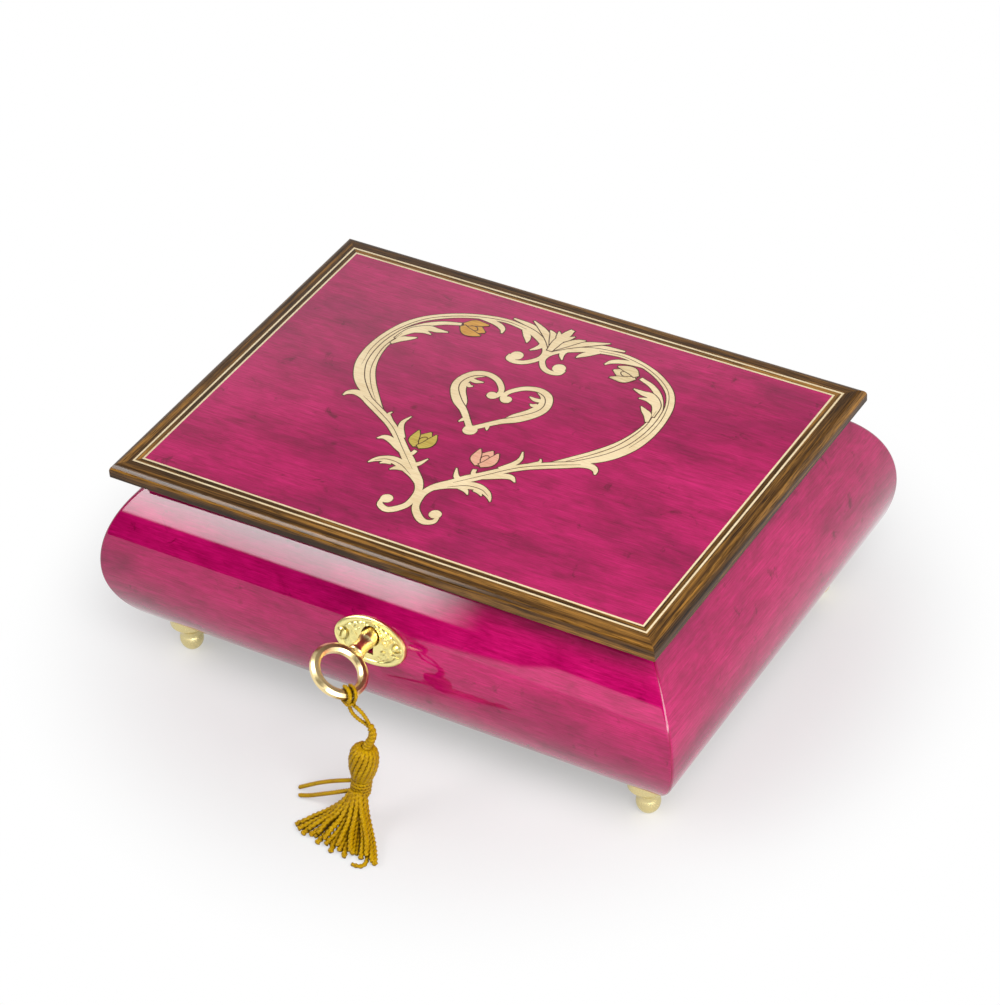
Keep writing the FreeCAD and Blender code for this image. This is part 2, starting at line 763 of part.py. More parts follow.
def make_key(hub_y0, seat_y):
    """Ring-bowed pipe key, its bit in the lock's hub."""
    x, z = lock_offset, lock_height
    shank_y = bow_center.y + bow_radius
    barrel_start = hub_y0 - 2 * OVER
    tip_y = seat_y - lock_clearance
    shank = rod(V(x, shank_y, z), V(x, barrel_start, z), key_shank_radius)
    collar = rod(V(x, shank_y + bow_section / 2, z), V(x, shank_y + bow_section, z), key_collar_radius)
    barrel = rod(V(x, barrel_start - OVER, z), V(x, tip_y, z), key_barrel_radius)
    bit = block(
        x - key_bit_thickness / 2, x + key_bit_thickness / 2,
        tip_y - key_bit_width, tip_y, z - key_bit_length, z
    )
    bit.rotate(lock_axis, V(0, -1, 0), key_rest_angle)
    bore = rod(V(x, hub_y0 - OVER, z), V(x, tip_y + OVER, z), key_bore_radius)
    radius = bow_section / 2 / math.cos(math.pi / 8)
    bow_axis = bow_across.cross(V(0, 1, 0))
    middle = bow_center + bow_across * bow_radius
    corners = []
    for corner in range(8):
        turn = math.pi / 8 + corner * math.pi / 4
        corners.append(middle + bow_across * (radius * math.cos(turn)) + bow_axis * (radius * math.sin(turn)))
    bow = polygon_face(corners).revolve(bow_center, bow_axis, 360)
    key = shank.fuse([collar, barrel, bit]).cut(bore).fuse(bow)
    nodes["key"] = key.removeSplitter()


# Tassel

def make_tassel():
    """Cord looped on the bow, bound head and a skirt that rests on the floor."""
    inner = bow_section / 2 / math.cos(math.pi / 8) + knot_clearance
    ridge = inner + 2 * loop_cord_radius
    flank = inner + 1.5 * loop_cord_radius
    half_turn = loop_cord_radius
    knot = turned([
        (inner, -2 * half_turn), (flank, -2 * half_turn),
        (ridge, -1.4 * half_turn), (ridge, -0.6 * half_turn),
        (flank, 0), (ridge, 0.6 * half_turn), (ridge, 1.4 * half_turn), (flank, 2 * half_turn),
        (inner, 2 * half_turn),
    ])
    knot.Placement = FreeCAD.Placement(knot_center, FreeCAD.Rotation(V(0, 0, 1), knot_tangent))
    nodes["tassel_knot"] = knot

    points = [knot_center + point for point in cord_points]
    edges = []
    start = points[0]
    radii = []
    for before, corner, after in zip(points, points[1:], points[2:]):
        towards = (before - corner).normalize()
        onward = (after - corner).normalize()
        reach = 0.45 * min((before - corner).Length, (after - corner).Length)
        bend = math.pi - towards.getAngle(onward)
        radius = reach / math.tan(bend / 2)
        radii.append(round(radius, 1))
        first = corner + towards * reach
        last = corner + onward * reach
        inward = (towards + onward).normalize()
        center = corner + inward * math.hypot(radius, reach)
        edges.append(line(start, first))
        edges.append(arc(first, center - inward * radius, last))
        start = last
    edges.append(line(start, points[-1]))
    path = Part.Wire(edges)
    section = Part.Wire(Part.Circle(points[0], points[1] - points[0], cord_radius).toShape())
    cord = path.makePipeShell([section], True, False)
    print("tassel cord radii", radii, "volume over section times length",
          round(cord.Volume / (math.pi * cord_radius ** 2 * path.Length), 4))
    nodes["tassel_cord"] = cord

    neck = knot_center + tassel_neck
    lean = (points[-1] - neck).normalize()
    turn = FreeCAD.Rotation(V(0, 0, 1), lean)
    bottom = neck + lean * tassel_neck_length
    top_gap = (points[-1] - bottom).Length
    head = turned([
        (0, 0), (tassel_neck_radius, 0), (tassel_head_radius * 0.93, tassel_head_length * 0.22),
        (tassel_head_radius, tassel_head_length * 0.45),
        (tassel_head_radius * 0.9, tassel_head_length * 0.72),
        (tassel_head_radius * 0.55, tassel_head_length * 0.94), (cord_radius, top_gap), (0, top_gap),
    ])
    head.Placement = FreeCAD.Placement(bottom, turn)
    nodes["tassel_head"] = head.cut(cord)
    binding = rod(neck, bottom, tassel_neck_radius + binding_thickness)
    ties = [rod(neck + lean * tassel_neck_length / 2, knot_center + end, tie_radius) for end in tie_ends]
    binding = binding.fuse(ties).removeSplitter()
    nodes["tassel_binding"] = binding

    def oval(center, direction, wide, high):
        curve = Part.Ellipse(V(0, 0, 0), wide, high).toShape()
        across = V(1, 0, 0)
        up = direction.cross(across)
        curve.Placement = FreeCAD.Placement(center, FreeCAD.Rotation(across, up, direction, "XYZ"))
        return Part.Wire(curve)

    middle = knot_center + skirt_middle
    end = knot_center + skirt_end
    sections = [
        oval(neck, lean * -1, tassel_neck_radius + 0.01, tassel_neck_radius),
        oval(middle, (end - neck).normalize(), *skirt_middle_size),
        oval(end, V(0, -1, 0), *skirt_end_size),
    ]
    nodes["tassel_skirt"] = Part.makeLoft(sections, True, True).cut(binding)


# Linings and furniture

def make_linings():
    left = partition_x + partition_thickness / 2
    top = rim_height - lining_drop
    depth = inner_y - lining_clearance
    nodes["partition"] = block(
        partition_x - partition_thickness / 2, left, -depth, depth, base_top, rim_height - partition_drop
    )
    floor_top = base_top + floor_lining_thickness
    nodes["floor_lining"] = block(
        left + lining_clearance, inner_x - lining_clearance, -depth, depth, base_top, floor_top
    )
    x0 = left + lining_clearance
    x1 = inner_x
    panels = [
        block(x0, x1 - lining_thickness, -inner_y, -inner_y + lining_thickness, floor_top, top),
        block(x0, x1 - lining_thickness, inner_y - lining_thickness, inner_y, floor_top, top),
        block(x1 - lining_thickness, x1, -inner_y, inner_y, floor_top, top),
    ]
    nodes["wall_lining"] = Part.makeCompound(panels)

    rolls = []
    roll_y = inner_y - lining_thickness - roll_end_margin
    for index in range(roll_count):
        outer = x1 - lining_thickness - roll_gap - index * (roll_width + roll_gap)
        inner = outer - roll_width
        middle = (inner + outer) / 2
        spring_z = floor_top + roll_height - roll_width / 2
        outline = [
            line(V(inner, -roll_y, floor_top), V(outer, -roll_y, floor_top)),
            line(V(outer, -roll_y, floor_top), V(outer, -roll_y, spring_z)),
            arc(
                V(outer, -roll_y, spring_z), V(middle, -roll_y, floor_top + roll_height),
                V(inner, -roll_y, spring_z)
            ),
            line(V(inner, -roll_y, spring_z), V(inner, -roll_y, floor_top)),
        ]
        rolls.append(Part.Face(Part.Wire(outline)).extrude(V(0, 2 * roll_y, 0)))
    nodes["ring_rolls"] = Part.makeCompound(rolls)

    x0 = -inner_x
    x1 = partition_x - partition_thickness / 2
    cover = block(
        x0 + cover_clearance, x1 - cover_clearance, -inner_y + cover_clearance, inner_y - cover_clearance,
        cover_z, cover_z + cover_thickness
    )
    hole = rod(
        V(worm_x, stop_y, cover_z - OVER), V(worm_x, stop_y, cover_z + cover_thickness + OVER),
        stop_rod_radius + cover_clearance
    )
    nodes["movement_cover"] = cover.cut(hole)
    low = cover_z - batten_size
    nodes["cover_battens"] = Part.makeCompound([
        block(x0, x0 + batten_size, -inner_y + batten_size, inner_y - batten_size, low, cover_z),
        block(x0, x1, -inner_y, -inner_y + batten_size, low, cover_z),
        block(x0, x1, inner_y - batten_size, inner_y, low, cover_z),
    ])


# Movement

def make_bedplate():
    """Cast bedplate with the cylinder's post and the governor's post; returns the screws."""
    front = frame_y - 2 * post_gap
    rear = barrel_y + barrel_radius + 2 * post_gap
    left = movement_x - bedplate_left
    right = movement_x + bedplate_right
    plate = block(left, right, front, rear, base_top, bed_top)
    corners = [edge for edge in plate.Edges if abs(edge.tangentAt(edge.FirstParameter).z) > 0.9]
    plate = plate.makeFillet(bedplate_corner, corners)

    def post(x, y, width, axis_z):
        outline = [
            line(V(x - width, y, bed_top - OVER), V(x + width, y, bed_top - OVER)),
            line(V(x + width, y, bed_top - OVER), V(x + width / 2, y, axis_z)),
            arc(V(x + width / 2, y, axis_z), V(x, y, axis_z + width / 2), V(x - width / 2, y, axis_z)),
            line(V(x - width / 2, y, axis_z), V(x - width, y, bed_top - OVER)),
        ]
        return Part.Face(Part.Wire(outline)).extrude(V(0, post_thickness, 0))

    plate = plate.fuse([
        post(movement_x, post_y - post_thickness / 2, post_half_width, cylinder_z),
        post(governor_x, governor_post_y, governor_post_half_width, cylinder_z),
    ]).removeSplitter()
    screws = []
    for x, y in (
        (left + bedplate_corner, rear - bedplate_corner),
        (right - bedplate_corner, rear - bedplate_corner),
        (right - bedplate_corner, front + bedplate_corner),
    ):
        head = rod(
            V(x, y, foot_height), V(x, y, foot_height + base_thickness / 2), movement_head_radius
        )
        shank = rod(V(x, y, foot_height), V(x, y, bed_top), movement_screw_radius)
        screws.append(head.fuse(shank).removeSplitter())
    bores = [
        rod(V(movement_x, barrel_y, 0), V(movement_x, barrel_y, REACH), arbor_radius + run_clearance),
        rod(V(worm_x, wheel_y, base_top + OVER), V(worm_x, wheel_y, REACH), fan_shaft_radius + run_clearance),
    ]
    for x, radius in ((movement_x, cylinder_arbor_radius), (governor_x, governor_arbor_radius)):
        bores.append(rod(V(x, -REACH, cylinder_z), V(x, REACH, cylinder_z), radius + run_clearance))
    nodes["bedplate"] = plate.cut(bores + screws)
    nodes["movement_screws"] = Part.makeCompound(screws)
    return screws


def make_barrel():
    """Spring barrel with contrate teeth, its cover, mainspring and bridge."""
    axis = V(movement_x, barrel_y, 0)

    def post(radius, z0, z1):
        return rod(axis + V(0, 0, z0), axis + V(0, 0, z1), radius)

    inner = barrel_radius - barrel_wall
    hollow = post(inner, barrel_z - OVER, barrel_top - barrel_wall)
    cup = post(barrel_radius, barrel_z, barrel_top).cut(hollow)
    bore = post(arbor_radius + run_clearance, barrel_z - OVER, barrel_top + OVER)
    pitch = math.pi * contrate_module
    flank = math.tan(math.radians(pressure_angle))
    half = pitch / 4 - gear_backlash / 2
    root_half = half + tooth_root * flank
    tip_half = half - tooth_tip * flank
    tooth_y = -contrate_radius - contrate_face / 2
    top = barrel_top + tooth_root + tooth_tip
    tooth_floor = barrel_top - barrel_wall / 2
    tooth = polygon_face([
        V(-root_half, tooth_y, tooth_floor), V(root_half, tooth_y, tooth_floor),
        V(root_half, tooth_y, barrel_top), V(tip_half, tooth_y, top),
        V(-tip_half, tooth_y, top), V(-root_half, tooth_y, barrel_top),
    ]).extrude(V(0, contrate_face, 0))
    rim = post(barrel_radius, barrel_z, REACH)
    teeth = []
    for index in range(contrate_teeth):
        copy = tooth.copy()
        copy.rotate(V(0, 0, 0), V(0, 0, 1), (index + 0.5) * 360 / contrate_teeth)
        copy.translate(axis)
        teeth.append(copy.common(rim))
    nodes["spring_barrel"] = cup.fuse(teeth).removeSplitter().cut(bore)
    cover_top = barrel_z + barrel_cover_thickness
    nodes["barrel_cover"] = post(inner - run_clearance, barrel_z, cover_top).cut(bore)

    coil_inner = arbor_radius + 2 * mainspring_thickness
    coil_outer = inner - mainspring_thickness
    step = (coil_outer - coil_inner) / (2 * mainspring_turns)
    outer_edges, inner_edges = [], []
    for index in range(2 * mainspring_turns):
        radius = coil_inner + step * (index + 0.5)
        side = 1 if index % 2 == 0 else -1
        center = axis + V(side * step / 2, 0, cover_top + run_clearance)
        for face, edges in ((1, outer_edges), (-1, inner_edges)):
            reach = radius + face * mainspring_thickness / 2
            across = V(side * reach, 0, 0)
            edges.append(arc(center - across, center + V(0, side * reach, 0), center + across))
    ends = [
        line(inner_edges[0].Vertexes[0].Point, outer_edges[0].Vertexes[0].Point),
        line(inner_edges[-1].Vertexes[1].Point, outer_edges[-1].Vertexes[1].Point),
    ]
    strip = Part.Face(Part.Wire(Part.__sortEdges__(outer_edges + inner_edges + ends)))
    coil_height = barrel_top - barrel_wall - cover_top - 2 * run_clearance
    nodes["mainspring"] = strip.extrude(V(0, 0, coil_height))

    bridge_z = top + bridge_clearance
    leg = barrel_radius + bridge_clearance
    outline = [
        (-leg - bridge_leg, bed_top), (-leg, bed_top), (-leg, bridge_z), (leg, bridge_z), (leg, bed_top),
        (leg + bridge_leg, bed_top), (leg + bridge_leg, bridge_z), (leg, bridge_z + bridge_thickness),
        (-leg, bridge_z + bridge_thickness), (-leg - bridge_leg, bridge_z),
    ]
    face = polygon_face([V(movement_x + x, barrel_y - bridge_width / 2, z) for x, z in outline])
    nodes["barrel_bridge"] = face.extrude(V(0, bridge_width, 0)).cut(
        post(arbor_radius + run_clearance, bridge_z - OVER, bridge_z + bridge_thickness + OVER)
    )

    arbor_top = bridge_z + bridge_thickness
    nodes["winding_arbor"] = post(arbor_radius, winding_key_floor + OVER, arbor_top)
    hub_top = winding_key_floor + winding_hub_height
    hub = post(winding_hub_radius, winding_key_floor, hub_top)
    middle_z = (winding_key_floor + hub_top) / 2
    half_height = winding_hub_height / 2
    straight = winding_wing_reach - half_height
    low, high = winding_key_floor, hub_top
    outline = [
        line(V(-straight, 0, low), V(straight, 0, low)),
        arc(V(straight, 0, low), V(winding_wing_reach, 0, middle_z), V(straight, 0, high)),
        line(V(straight, 0, high), V(-straight, 0, high)),
        arc(V(-straight, 0, high), V(-winding_wing_reach, 0, middle_z), V(-straight, 0, low)),
    ]
    wings = Part.Face(Part.Wire(outline)).extrude(V(0, winding_wing_thickness, 0))
    wings.translate(axis + V(0, -winding_wing_thickness / 2, 0))
    socket = post(arbor_radius, winding_key_floor + OVER, hub_top + OVER)
    nodes["winding_key"] = hub.fuse(wings).removeSplitter().cut(socket)


def make_cylinder():
    """Pinned cylinder on its arbor, with the pinion and the governor's drive gear."""
    axis_y = V(0, -1, 0)

    def along(radius, y0, y1):
        return rod(V(movement_x, y0, cylinder_z), V(movement_x, y1, cylinder_z), radius)

    arbor_rear = movement_shift + pinion_width / 2
    arbor_front = frame_y
    pinion = in_plane_of_y(
        gear(contrate_module, pinion_teeth, pinion_width, gear_backlash, -90),
        movement_x, arbor_rear, cylinder_z
    )
    arbor = along(cylinder_arbor_radius, arbor_rear, arbor_front)
    nodes["cylinder_arbor"] = arbor.fuse(pinion).removeSplitter()

    front = cylinder_end - cylinder_length
    tube = along(cylinder_radius, cylinder_end, front)
    hollow = along(cylinder_radius - cylinder_wall, cylinder_end - cylinder_wall, front + cylinder_wall)
    core = along(cylinder_arbor_radius, cylinder_end + OVER, front - OVER)
    pins = []
    sixth = math.pi / 3
    pin_corners = [V(pin_size * math.cos(k * sixth), pin_size * math.sin(k * sixth), 0) for k in range(6)]
    for note in range(note_count):
        y = cylinder_end - comb_margin - note_pitch * (note + 0.5)
        for pin in range(pins_per_note):
            turn = note * tune_note_turn + pin * (tune_pin_turn + tune_pin_change * (note % 4))
            peg = polygon_face(pin_corners).extrude(V(0, 0, cylinder_wall / 2 + pin_height))
            peg.translate(V(0, y, cylinder_radius - cylinder_wall / 2))
            peg.rotate(V(0, y, 0), axis_y, turn)
            peg.translate(V(movement_x, 0, cylinder_z))
            pins.append(peg)
    nodes["pinned_cylinder"] = tube.cut([hollow, core]).fuse(pins).removeSplitter()

    big = in_plane_of_y(
        gear(train_module, cylinder_gear_teeth, train_width, gear_backlash, 180),
        movement_x, gear_y + train_width / 2, cylinder_z
    )
    nodes["cylinder_gear"] = big.cut(along(cylinder_arbor_radius, gear_y + train_width, gear_y - train_width))


def make_governor():
    """Governor frame, wheel and fan with its worm, and the stop rod beside the fan."""
    def bar(radius, y0, y1):
        return rod(V(governor_x, y0, cylinder_z), V(governor_x, y1, cylinder_z), radius)

    rear = governor_post_y + post_thickness
    arbor = bar(governor_arbor_radius, frame_y, rear)
    pinion = in_plane_of_y(
        gear(train_module, governor_pinion_teeth, train_width, gear_backlash, 180 / governor_pinion_teeth),
        governor_x, gear_y + train_width / 2, cylinder_z
    )
    wheel = in_plane_of_y(
        gear(worm_module, worm_wheel_teeth, worm_wheel_width, worm_wheel_backlash, 180),
        governor_x, wheel_y + worm_wheel_width / 2, cylinder_z
    )
    nodes["governor_wheel"] = arbor.fuse([pinion, wheel]).removeSplitter()

    def upright(radius, z0, z1):
        return rod(V(worm_x, wheel_y, z0), V(worm_x, wheel_y, z1), radius)

    tip = worm_radius + worm_tip_height
    root = (worm_core_radius + fan_shaft_radius) / 2
    tip_half = worm_tip_width / 2
    root_half = tip_half + (tip - root) * math.tan(math.radians(pressure_angle))
    helix = Part.Wire(Part.makeHelix(worm_pitch, worm_turns * worm_pitch, worm_radius).Edges)
    profile = Part.makePolygon([
        V(root, 0, -root_half), V(tip, 0, -tip_half), V(tip, 0, tip_half), V(root, 0, root_half),
        V(root, 0, -root_half),
    ])
    thread = helix.makePipeShell([profile], True, True)
    turns_below = math.floor(worm_turns / 2) + 0.5
    thread.translate(V(worm_x, wheel_y, cylinder_z - turns_below * worm_pitch))
    fan_z = bed_top + fan_lift
    shaft = upright(fan_shaft_radius, base_top + OVER + run_clearance, frame_top)
    core = upright(worm_core_radius, fan_z + fan_height, frame_top - frame_arm - run_clearance)
    nodes["fan_worm"] = shaft.fuse([core, thread]).removeSplitter()
    blades = block(
        worm_x - fan_radius, worm_x + fan_radius, wheel_y - fan_thickness / 2, wheel_y + fan_thickness / 2,
        fan_z, fan_z + fan_height
    )
    sleeve = upright(fan_shaft_radius + fan_thickness, fan_z, fan_z + fan_height)
    shaft_hole = upright(fan_shaft_radius, fan_z - OVER, frame_top)
    nodes["fan_blades"] = blades.fuse(sleeve).removeSplitter().cut(shaft_hole)

    arm_left = worm_x - stop_rod_radius - frame_arm_margin
    arm_right = worm_x + stop_rod_radius + frame_arm_margin
    shoulder = cylinder_z + frame_eye_radius
    round_x = movement_x + frame_eye_radius
    bend = frame_eye_radius * math.sqrt(0.5)
    outline = [
        line(V(arm_left, frame_y, bed_top), V(round_x, frame_y, bed_top)),
        line(V(round_x, frame_y, bed_top), V(round_x, frame_y, cylinder_z)),
        arc(
            V(round_x, frame_y, cylinder_z), V(movement_x + bend, frame_y, cylinder_z + bend),
            V(movement_x, frame_y, shoulder)
        ),
        line(V(movement_x, frame_y, shoulder), V(arm_right + OVER, frame_y, shoulder)),
        line(V(arm_right + OVER, frame_y, shoulder), V(arm_right, frame_y, frame_top)),
        line(V(arm_right, frame_y, frame_top), V(arm_left, frame_y, frame_top)),
        line(V(arm_left, frame_y, frame_top), V(arm_left, frame_y, bed_top)),
    ]
    plate = Part.Face(Part.Wire(outline)).extrude(V(0, frame_thickness, 0))
    arm = block(
        arm_left, arm_right, frame_y + frame_thickness - OVER, wheel_y + arm_right - worm_x,
        frame_top - frame_arm, frame_top
    )
    bores = [
        rod(
            V(movement_x, -REACH, cylinder_z), V(movement_x, REACH, cylinder_z),
            cylinder_arbor_radius + run_clearance
        ),
        bar(governor_arbor_radius + run_clearance, frame_y - OVER, rear + OVER),
        upright(fan_shaft_radius + run_clearance, bed_top + OVER, frame_top + OVER),
        rod(V(worm_x, stop_y, bed_top), V(worm_x, stop_y, frame_top + OVER), stop_rod_radius + run_clearance),
    ]
    nodes["governor_frame"] = plate.fuse(arm).removeSplitter().cut(bores)

    rod_top = lid_pad_z - seat_clearance
    stem = rod(V(worm_x, stop_y, fan_z + fan_height / 2), V(worm_x, stop_y, rod_top), stop_rod_radius)
    cap = rod(V(worm_x, stop_y, rod_top - OVER), V(worm_x, stop_y, rod_top), stop_cap_radius)
    nodes["stop_rod"] = stem.fuse(cap).removeSplitter()


def make_comb():
    """Steel comb, cut into tuned teeth, screwed to its bar."""
    rear = cylinder_end
    front = cylinder_end - cylinder_length
    z = cylinder_z - comb_thickness / 2
    points = [V(comb_back_x, rear, z), V(comb_tip_x + comb_tooth_length, rear, z)]
    for note in range(note_count):
        y = cylinder_end - comb_margin - note_pitch * (note + 0.5)
        half = (note_pitch - comb_tooth_slot) / 2
        base = comb_tip_x + comb_tooth_length - comb_tooth_step * note
        points += [V(base, y + half, z), V(comb_tip_x, y + half, z)]
        points += [V(comb_tip_x, y - half, z), V(base, y - half, z)]
    points += [V(base, front, z), V(comb_back_x, front, z)]
    comb = polygon_face(points).extrude(V(0, 0, comb_thickness))
    middle_x = comb_back_x - comb_root / 2
    screws = []
    for share in (0.2, 0.5, 0.8):
        y = rear - share * cylinder_length
        top = cylinder_z + comb_thickness / 2
        shank = rod(V(middle_x, y, top - comb_root), V(middle_x, y, top), comb_screw_radius)
        head = rod(V(middle_x, y, top), V(middle_x, y, top + comb_head_radius / 2), comb_head_radius)
        screws.append(head.fuse(shank).removeSplitter())
    nodes["comb"] = comb.cut(screws)
    nodes["comb_screws"] = Part.makeCompound(screws)
    bar = block(comb_back_x - comb_root, comb_back_x, front, rear, bed_top, z)
    nodes["comb_bar"] = bar.cut(screws)


# Assembly

base, walls = make_case()
for side_y, row in ((-1, "front"), (1, "rear")):
    for side_x, column in ((-1, "left"), (1, "right")):
        foot = make_foot(side_x * (half_length - foot_inset), side_y * (half_depth - foot_inset))
        nodes["foot_" + row + "_" + column] = foot
        base = base.cut(foot)
make_lid()
rear_cutters, lid_screws = make_hinges()
escutcheon_screws = make_escutcheon()
lock_pockets, strike_screws, hub_y0, seat_y = make_lock()
make_key(hub_y0, seat_y)
make_tassel()
make_linings()
movement_screws = make_bedplate()
make_barrel()
make_cylinder()
make_governor()
make_comb()

arbor_hole = rod(V(movement_x, barrel_y, 0), V(movement_x, barrel_y, base_top + OVER), arbor_hole_radius)
nodes["base_board"] = base.cut(movement_screws + [arbor_hole])
key_way = keyhole(keyhole_radius, keyhole_slot, keyhole_drop, -half_depth - OVER, -inner_y + OVER)
nodes["wall_front"] = walls["front"].cut(lock_pockets + escutcheon_screws + [key_way])
nodes["wall_rear"] = walls["rear"].cut(rear_cutters)
nodes["wall_left"] = walls["left"]
nodes["wall_right"] = walls["right"]
lid_fixings = lid_screws + strike_screws
nodes["lid_panel"] = nodes["lid_panel"].cut(lid_fixings)
for side in ("front", "rear"):
    nodes["lid_moulding_" + side] = nodes["lid_moulding_" + side].cut(lid_fixings)

os.makedirs("parts", exist_ok=True)
for name, shape in sorted(nodes.items()):
    shape.exportStep("parts/" + name + ".step")
print(len(nodes), "nodes")
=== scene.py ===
"""A bombe musical jewellery box in stained maple veneer, with an inlaid lid, a key and a tassel."""

import bmesh
import bpy
import math
import numpy as np
from mathutils import Matrix, Vector


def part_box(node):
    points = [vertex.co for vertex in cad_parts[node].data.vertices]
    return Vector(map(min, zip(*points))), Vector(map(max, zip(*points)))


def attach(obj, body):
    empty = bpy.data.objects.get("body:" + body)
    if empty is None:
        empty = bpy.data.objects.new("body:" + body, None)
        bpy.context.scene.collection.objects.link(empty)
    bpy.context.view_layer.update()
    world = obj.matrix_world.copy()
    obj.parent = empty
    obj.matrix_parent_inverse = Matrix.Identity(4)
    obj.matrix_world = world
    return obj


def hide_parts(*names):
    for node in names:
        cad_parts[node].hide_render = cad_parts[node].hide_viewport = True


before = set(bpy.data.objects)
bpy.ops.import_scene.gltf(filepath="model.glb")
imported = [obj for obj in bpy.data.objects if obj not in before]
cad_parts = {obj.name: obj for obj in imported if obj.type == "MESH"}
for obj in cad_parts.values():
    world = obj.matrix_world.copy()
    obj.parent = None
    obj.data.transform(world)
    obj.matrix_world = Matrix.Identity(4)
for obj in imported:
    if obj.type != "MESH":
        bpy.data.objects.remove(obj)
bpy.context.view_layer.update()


# Case walls: four poplar boards, curved outside and mitred, stained before the veneer goes on.
# Their rims and inner faces stay bare under the lacquer, so the stain shows a plain straight grain.

MM = 0.001


def new_material(name):
    """An empty node material with its shader; returns material, node tree and shader."""
    material = bpy.data.materials.new(name)
    material.use_nodes = True
    tree = material.node_tree
    return material, tree, tree.nodes["Principled BSDF"]


def plug(socket, value):
    """Give a socket a plain value, or a link from another node's socket."""
    if isinstance(value, bpy.types.NodeSocket):
        socket.id_data.links.new(value, socket)
    else:
        socket.default_value = (*value, 1.0) if socket.type == "RGBA" else value


def set_sockets(node, **values):
    """Set or link a node's sockets by name, with spaces written as underscores."""
    for name, value in values.items():
        plug(node.inputs[name.replace("_", " ")], value)


def new_node(tree, kind, **values):
    """A new shader node with some of its sockets set or linked; returns its outputs."""
    node = tree.nodes.new("ShaderNode" + kind)
    set_sockets(node, **values)
    return node.outputs


def stretched(tree, along, length, width):
    """Object coordinates, counted in cells of a length along one axis and a width across it, in mm."""
    sizes = [length if axis == along else width for axis in range(3)]
    places = new_node(tree, "TexCoord")["Object"]
    return new_node(tree, "Mapping", Vector=places, Scale=[1 / MM / size for size in sizes])["Vector"]


def noise(tree, along, length, width, detail=3.0, roughness=0.55, distortion=0.0):
    """Noise in cells of a length along one axis and a width across it, in mm."""
    places = stretched(tree, along, length, width)
    return new_node(
        tree, "TexNoise", Vector=places, Scale=1.0, Detail=detail, Roughness=roughness,
        Distortion=distortion
    )["Fac"]


def ramp(factor, *stops):
    """Colour ramp through (place, colour) stops."""
    node = factor.id_data.nodes.new("ShaderNodeValToRGB")
    elements = node.color_ramp.elements
    while len(elements) < len(stops):
        elements.new(0.5)
    for element, (place, colour) in zip(elements, stops):
        element.position = place
        element.color = (*colour, 1.0)
    set_sockets(node, Fac=factor)
    return node.outputs["Color"]


def multiplied(first, second):
    """Two colour sockets, one times the other."""
    node = first.id_data.nodes.new("ShaderNodeMix")
    node.data_type = "RGBA"
    node.blend_type = "MULTIPLY"
    for index, value in ((0, 1.0), (6, first), (7, second)):
        plug(node.inputs[index], value)
    return node.outputs[2]


def grained(name, *layers, relief=None, **sockets):
    """A finish whose colour is the product of its layers, each of cells and stops: a ramp over noise.

    Relief is a strength and a depth, then cells of its own or else those of the first layer.
    """
    material, tree, shader = new_material(name)
    colour = None
    for cells, *stops in layers:
        layer = ramp(noise(tree, *cells), *stops)
        colour = layer if colour is None else multiplied(colour, layer)
    set_sockets(shader, Base_Color=colour, **sockets)
    if relief:
        strength, depth, *cells = relief
        height = noise(tree, *(cells or layers[0][0]))
        bump = new_node(tree, "Bump", Height=height, Strength=strength, Distance=depth)
        set_sockets(shader, Normal=bump["Normal"])
    return material


# polished polyester over wood: a mirror coat on a dull ground
LACQUER = dict(Roughness=0.6, Specular_IOR_Level=0.0, Coat_Weight=1.0, Coat_Roughness=0.015, Coat_IOR=1.5)
stained_wood = grained(
    "stained_wood", ((0, 6.7, 0.55, 4), (0.3, (0.26, 0.006, 0.06)), (0.7, (0.42, 0.02, 0.11))), **LACQUER
)


def dress(material, *nodes):
    """Give carried-over nodes a finish."""
    for name in nodes:
        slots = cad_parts[name].data.materials
        slots.clear()
        slots.append(material)


dress(stained_wood, "wall_front", "wall_rear", "wall_left", "wall_right")


# Veneer: four sheets of figured maple, stained raspberry, pressed round the walls and lacquered.
# They meet at the mitred corners, where the edge is eased and the stain gathers in a fine dark line.

BELLY = (82.5, 62.0)
BELLY_Z = 32.0
FOOT_Z = 11.8
RIM_Z = 60.7
NECK_Z = 55.6
SHOULDER_R = 31.0
LOWER_R = 26.0
LOWER_SWEEP = math.radians(44)
SLOPE_Z = BELLY_Z - LOWER_R * math.sin(LOWER_SWEEP)
SHEET_PROUD = 0.3
SHEET_DEPTH = 0.6
CORNER_R = 1.0
WHITE = (1.0, 1.0, 1.0)


def setback(z):
    """How far the case's side lies in from the belly at a height."""
    if z < SLOPE_Z:
        return LOWER_R * (1 - math.cos(LOWER_SWEEP)) + (SLOPE_Z - z) * math.tan(LOWER_SWEEP)
    if z < BELLY_Z:
        return LOWER_R - math.sqrt(LOWER_R ** 2 - (BELLY_Z - z) ** 2)
    rise = min(z, NECK_Z) - BELLY_Z
    return SHOULDER_R - math.sqrt(SHOULDER_R ** 2 - rise ** 2)


def linked(name, data):
    """A new object in the scene."""
    made = bpy.data.objects.new(name, data)
    bpy.context.collection.objects.link(made)
    return made


def piece(name, points, faces, body, material, slot, sharp, replaced=None):
    """A mesh from points in millimetres, riding on a body; it may stand for a CAD node."""
    mesh = bpy.data.meshes.new(name)
    mesh.from_pydata([Vector(point) * MM for point in points], [], faces)
    work = bmesh.new()
    work.from_mesh(mesh)
    bmesh.ops.recalc_face_normals(work, faces=work.faces)
    work.to_mesh(mesh)
    work.free()
    mesh.shade_smooth()
    mesh.set_sharp_from_angle(angle=math.radians(sharp))
    mesh.materials.append(material)
    made = linked(name, mesh)
    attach(made, body)
    if replaced:
        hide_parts(replaced)
    return made


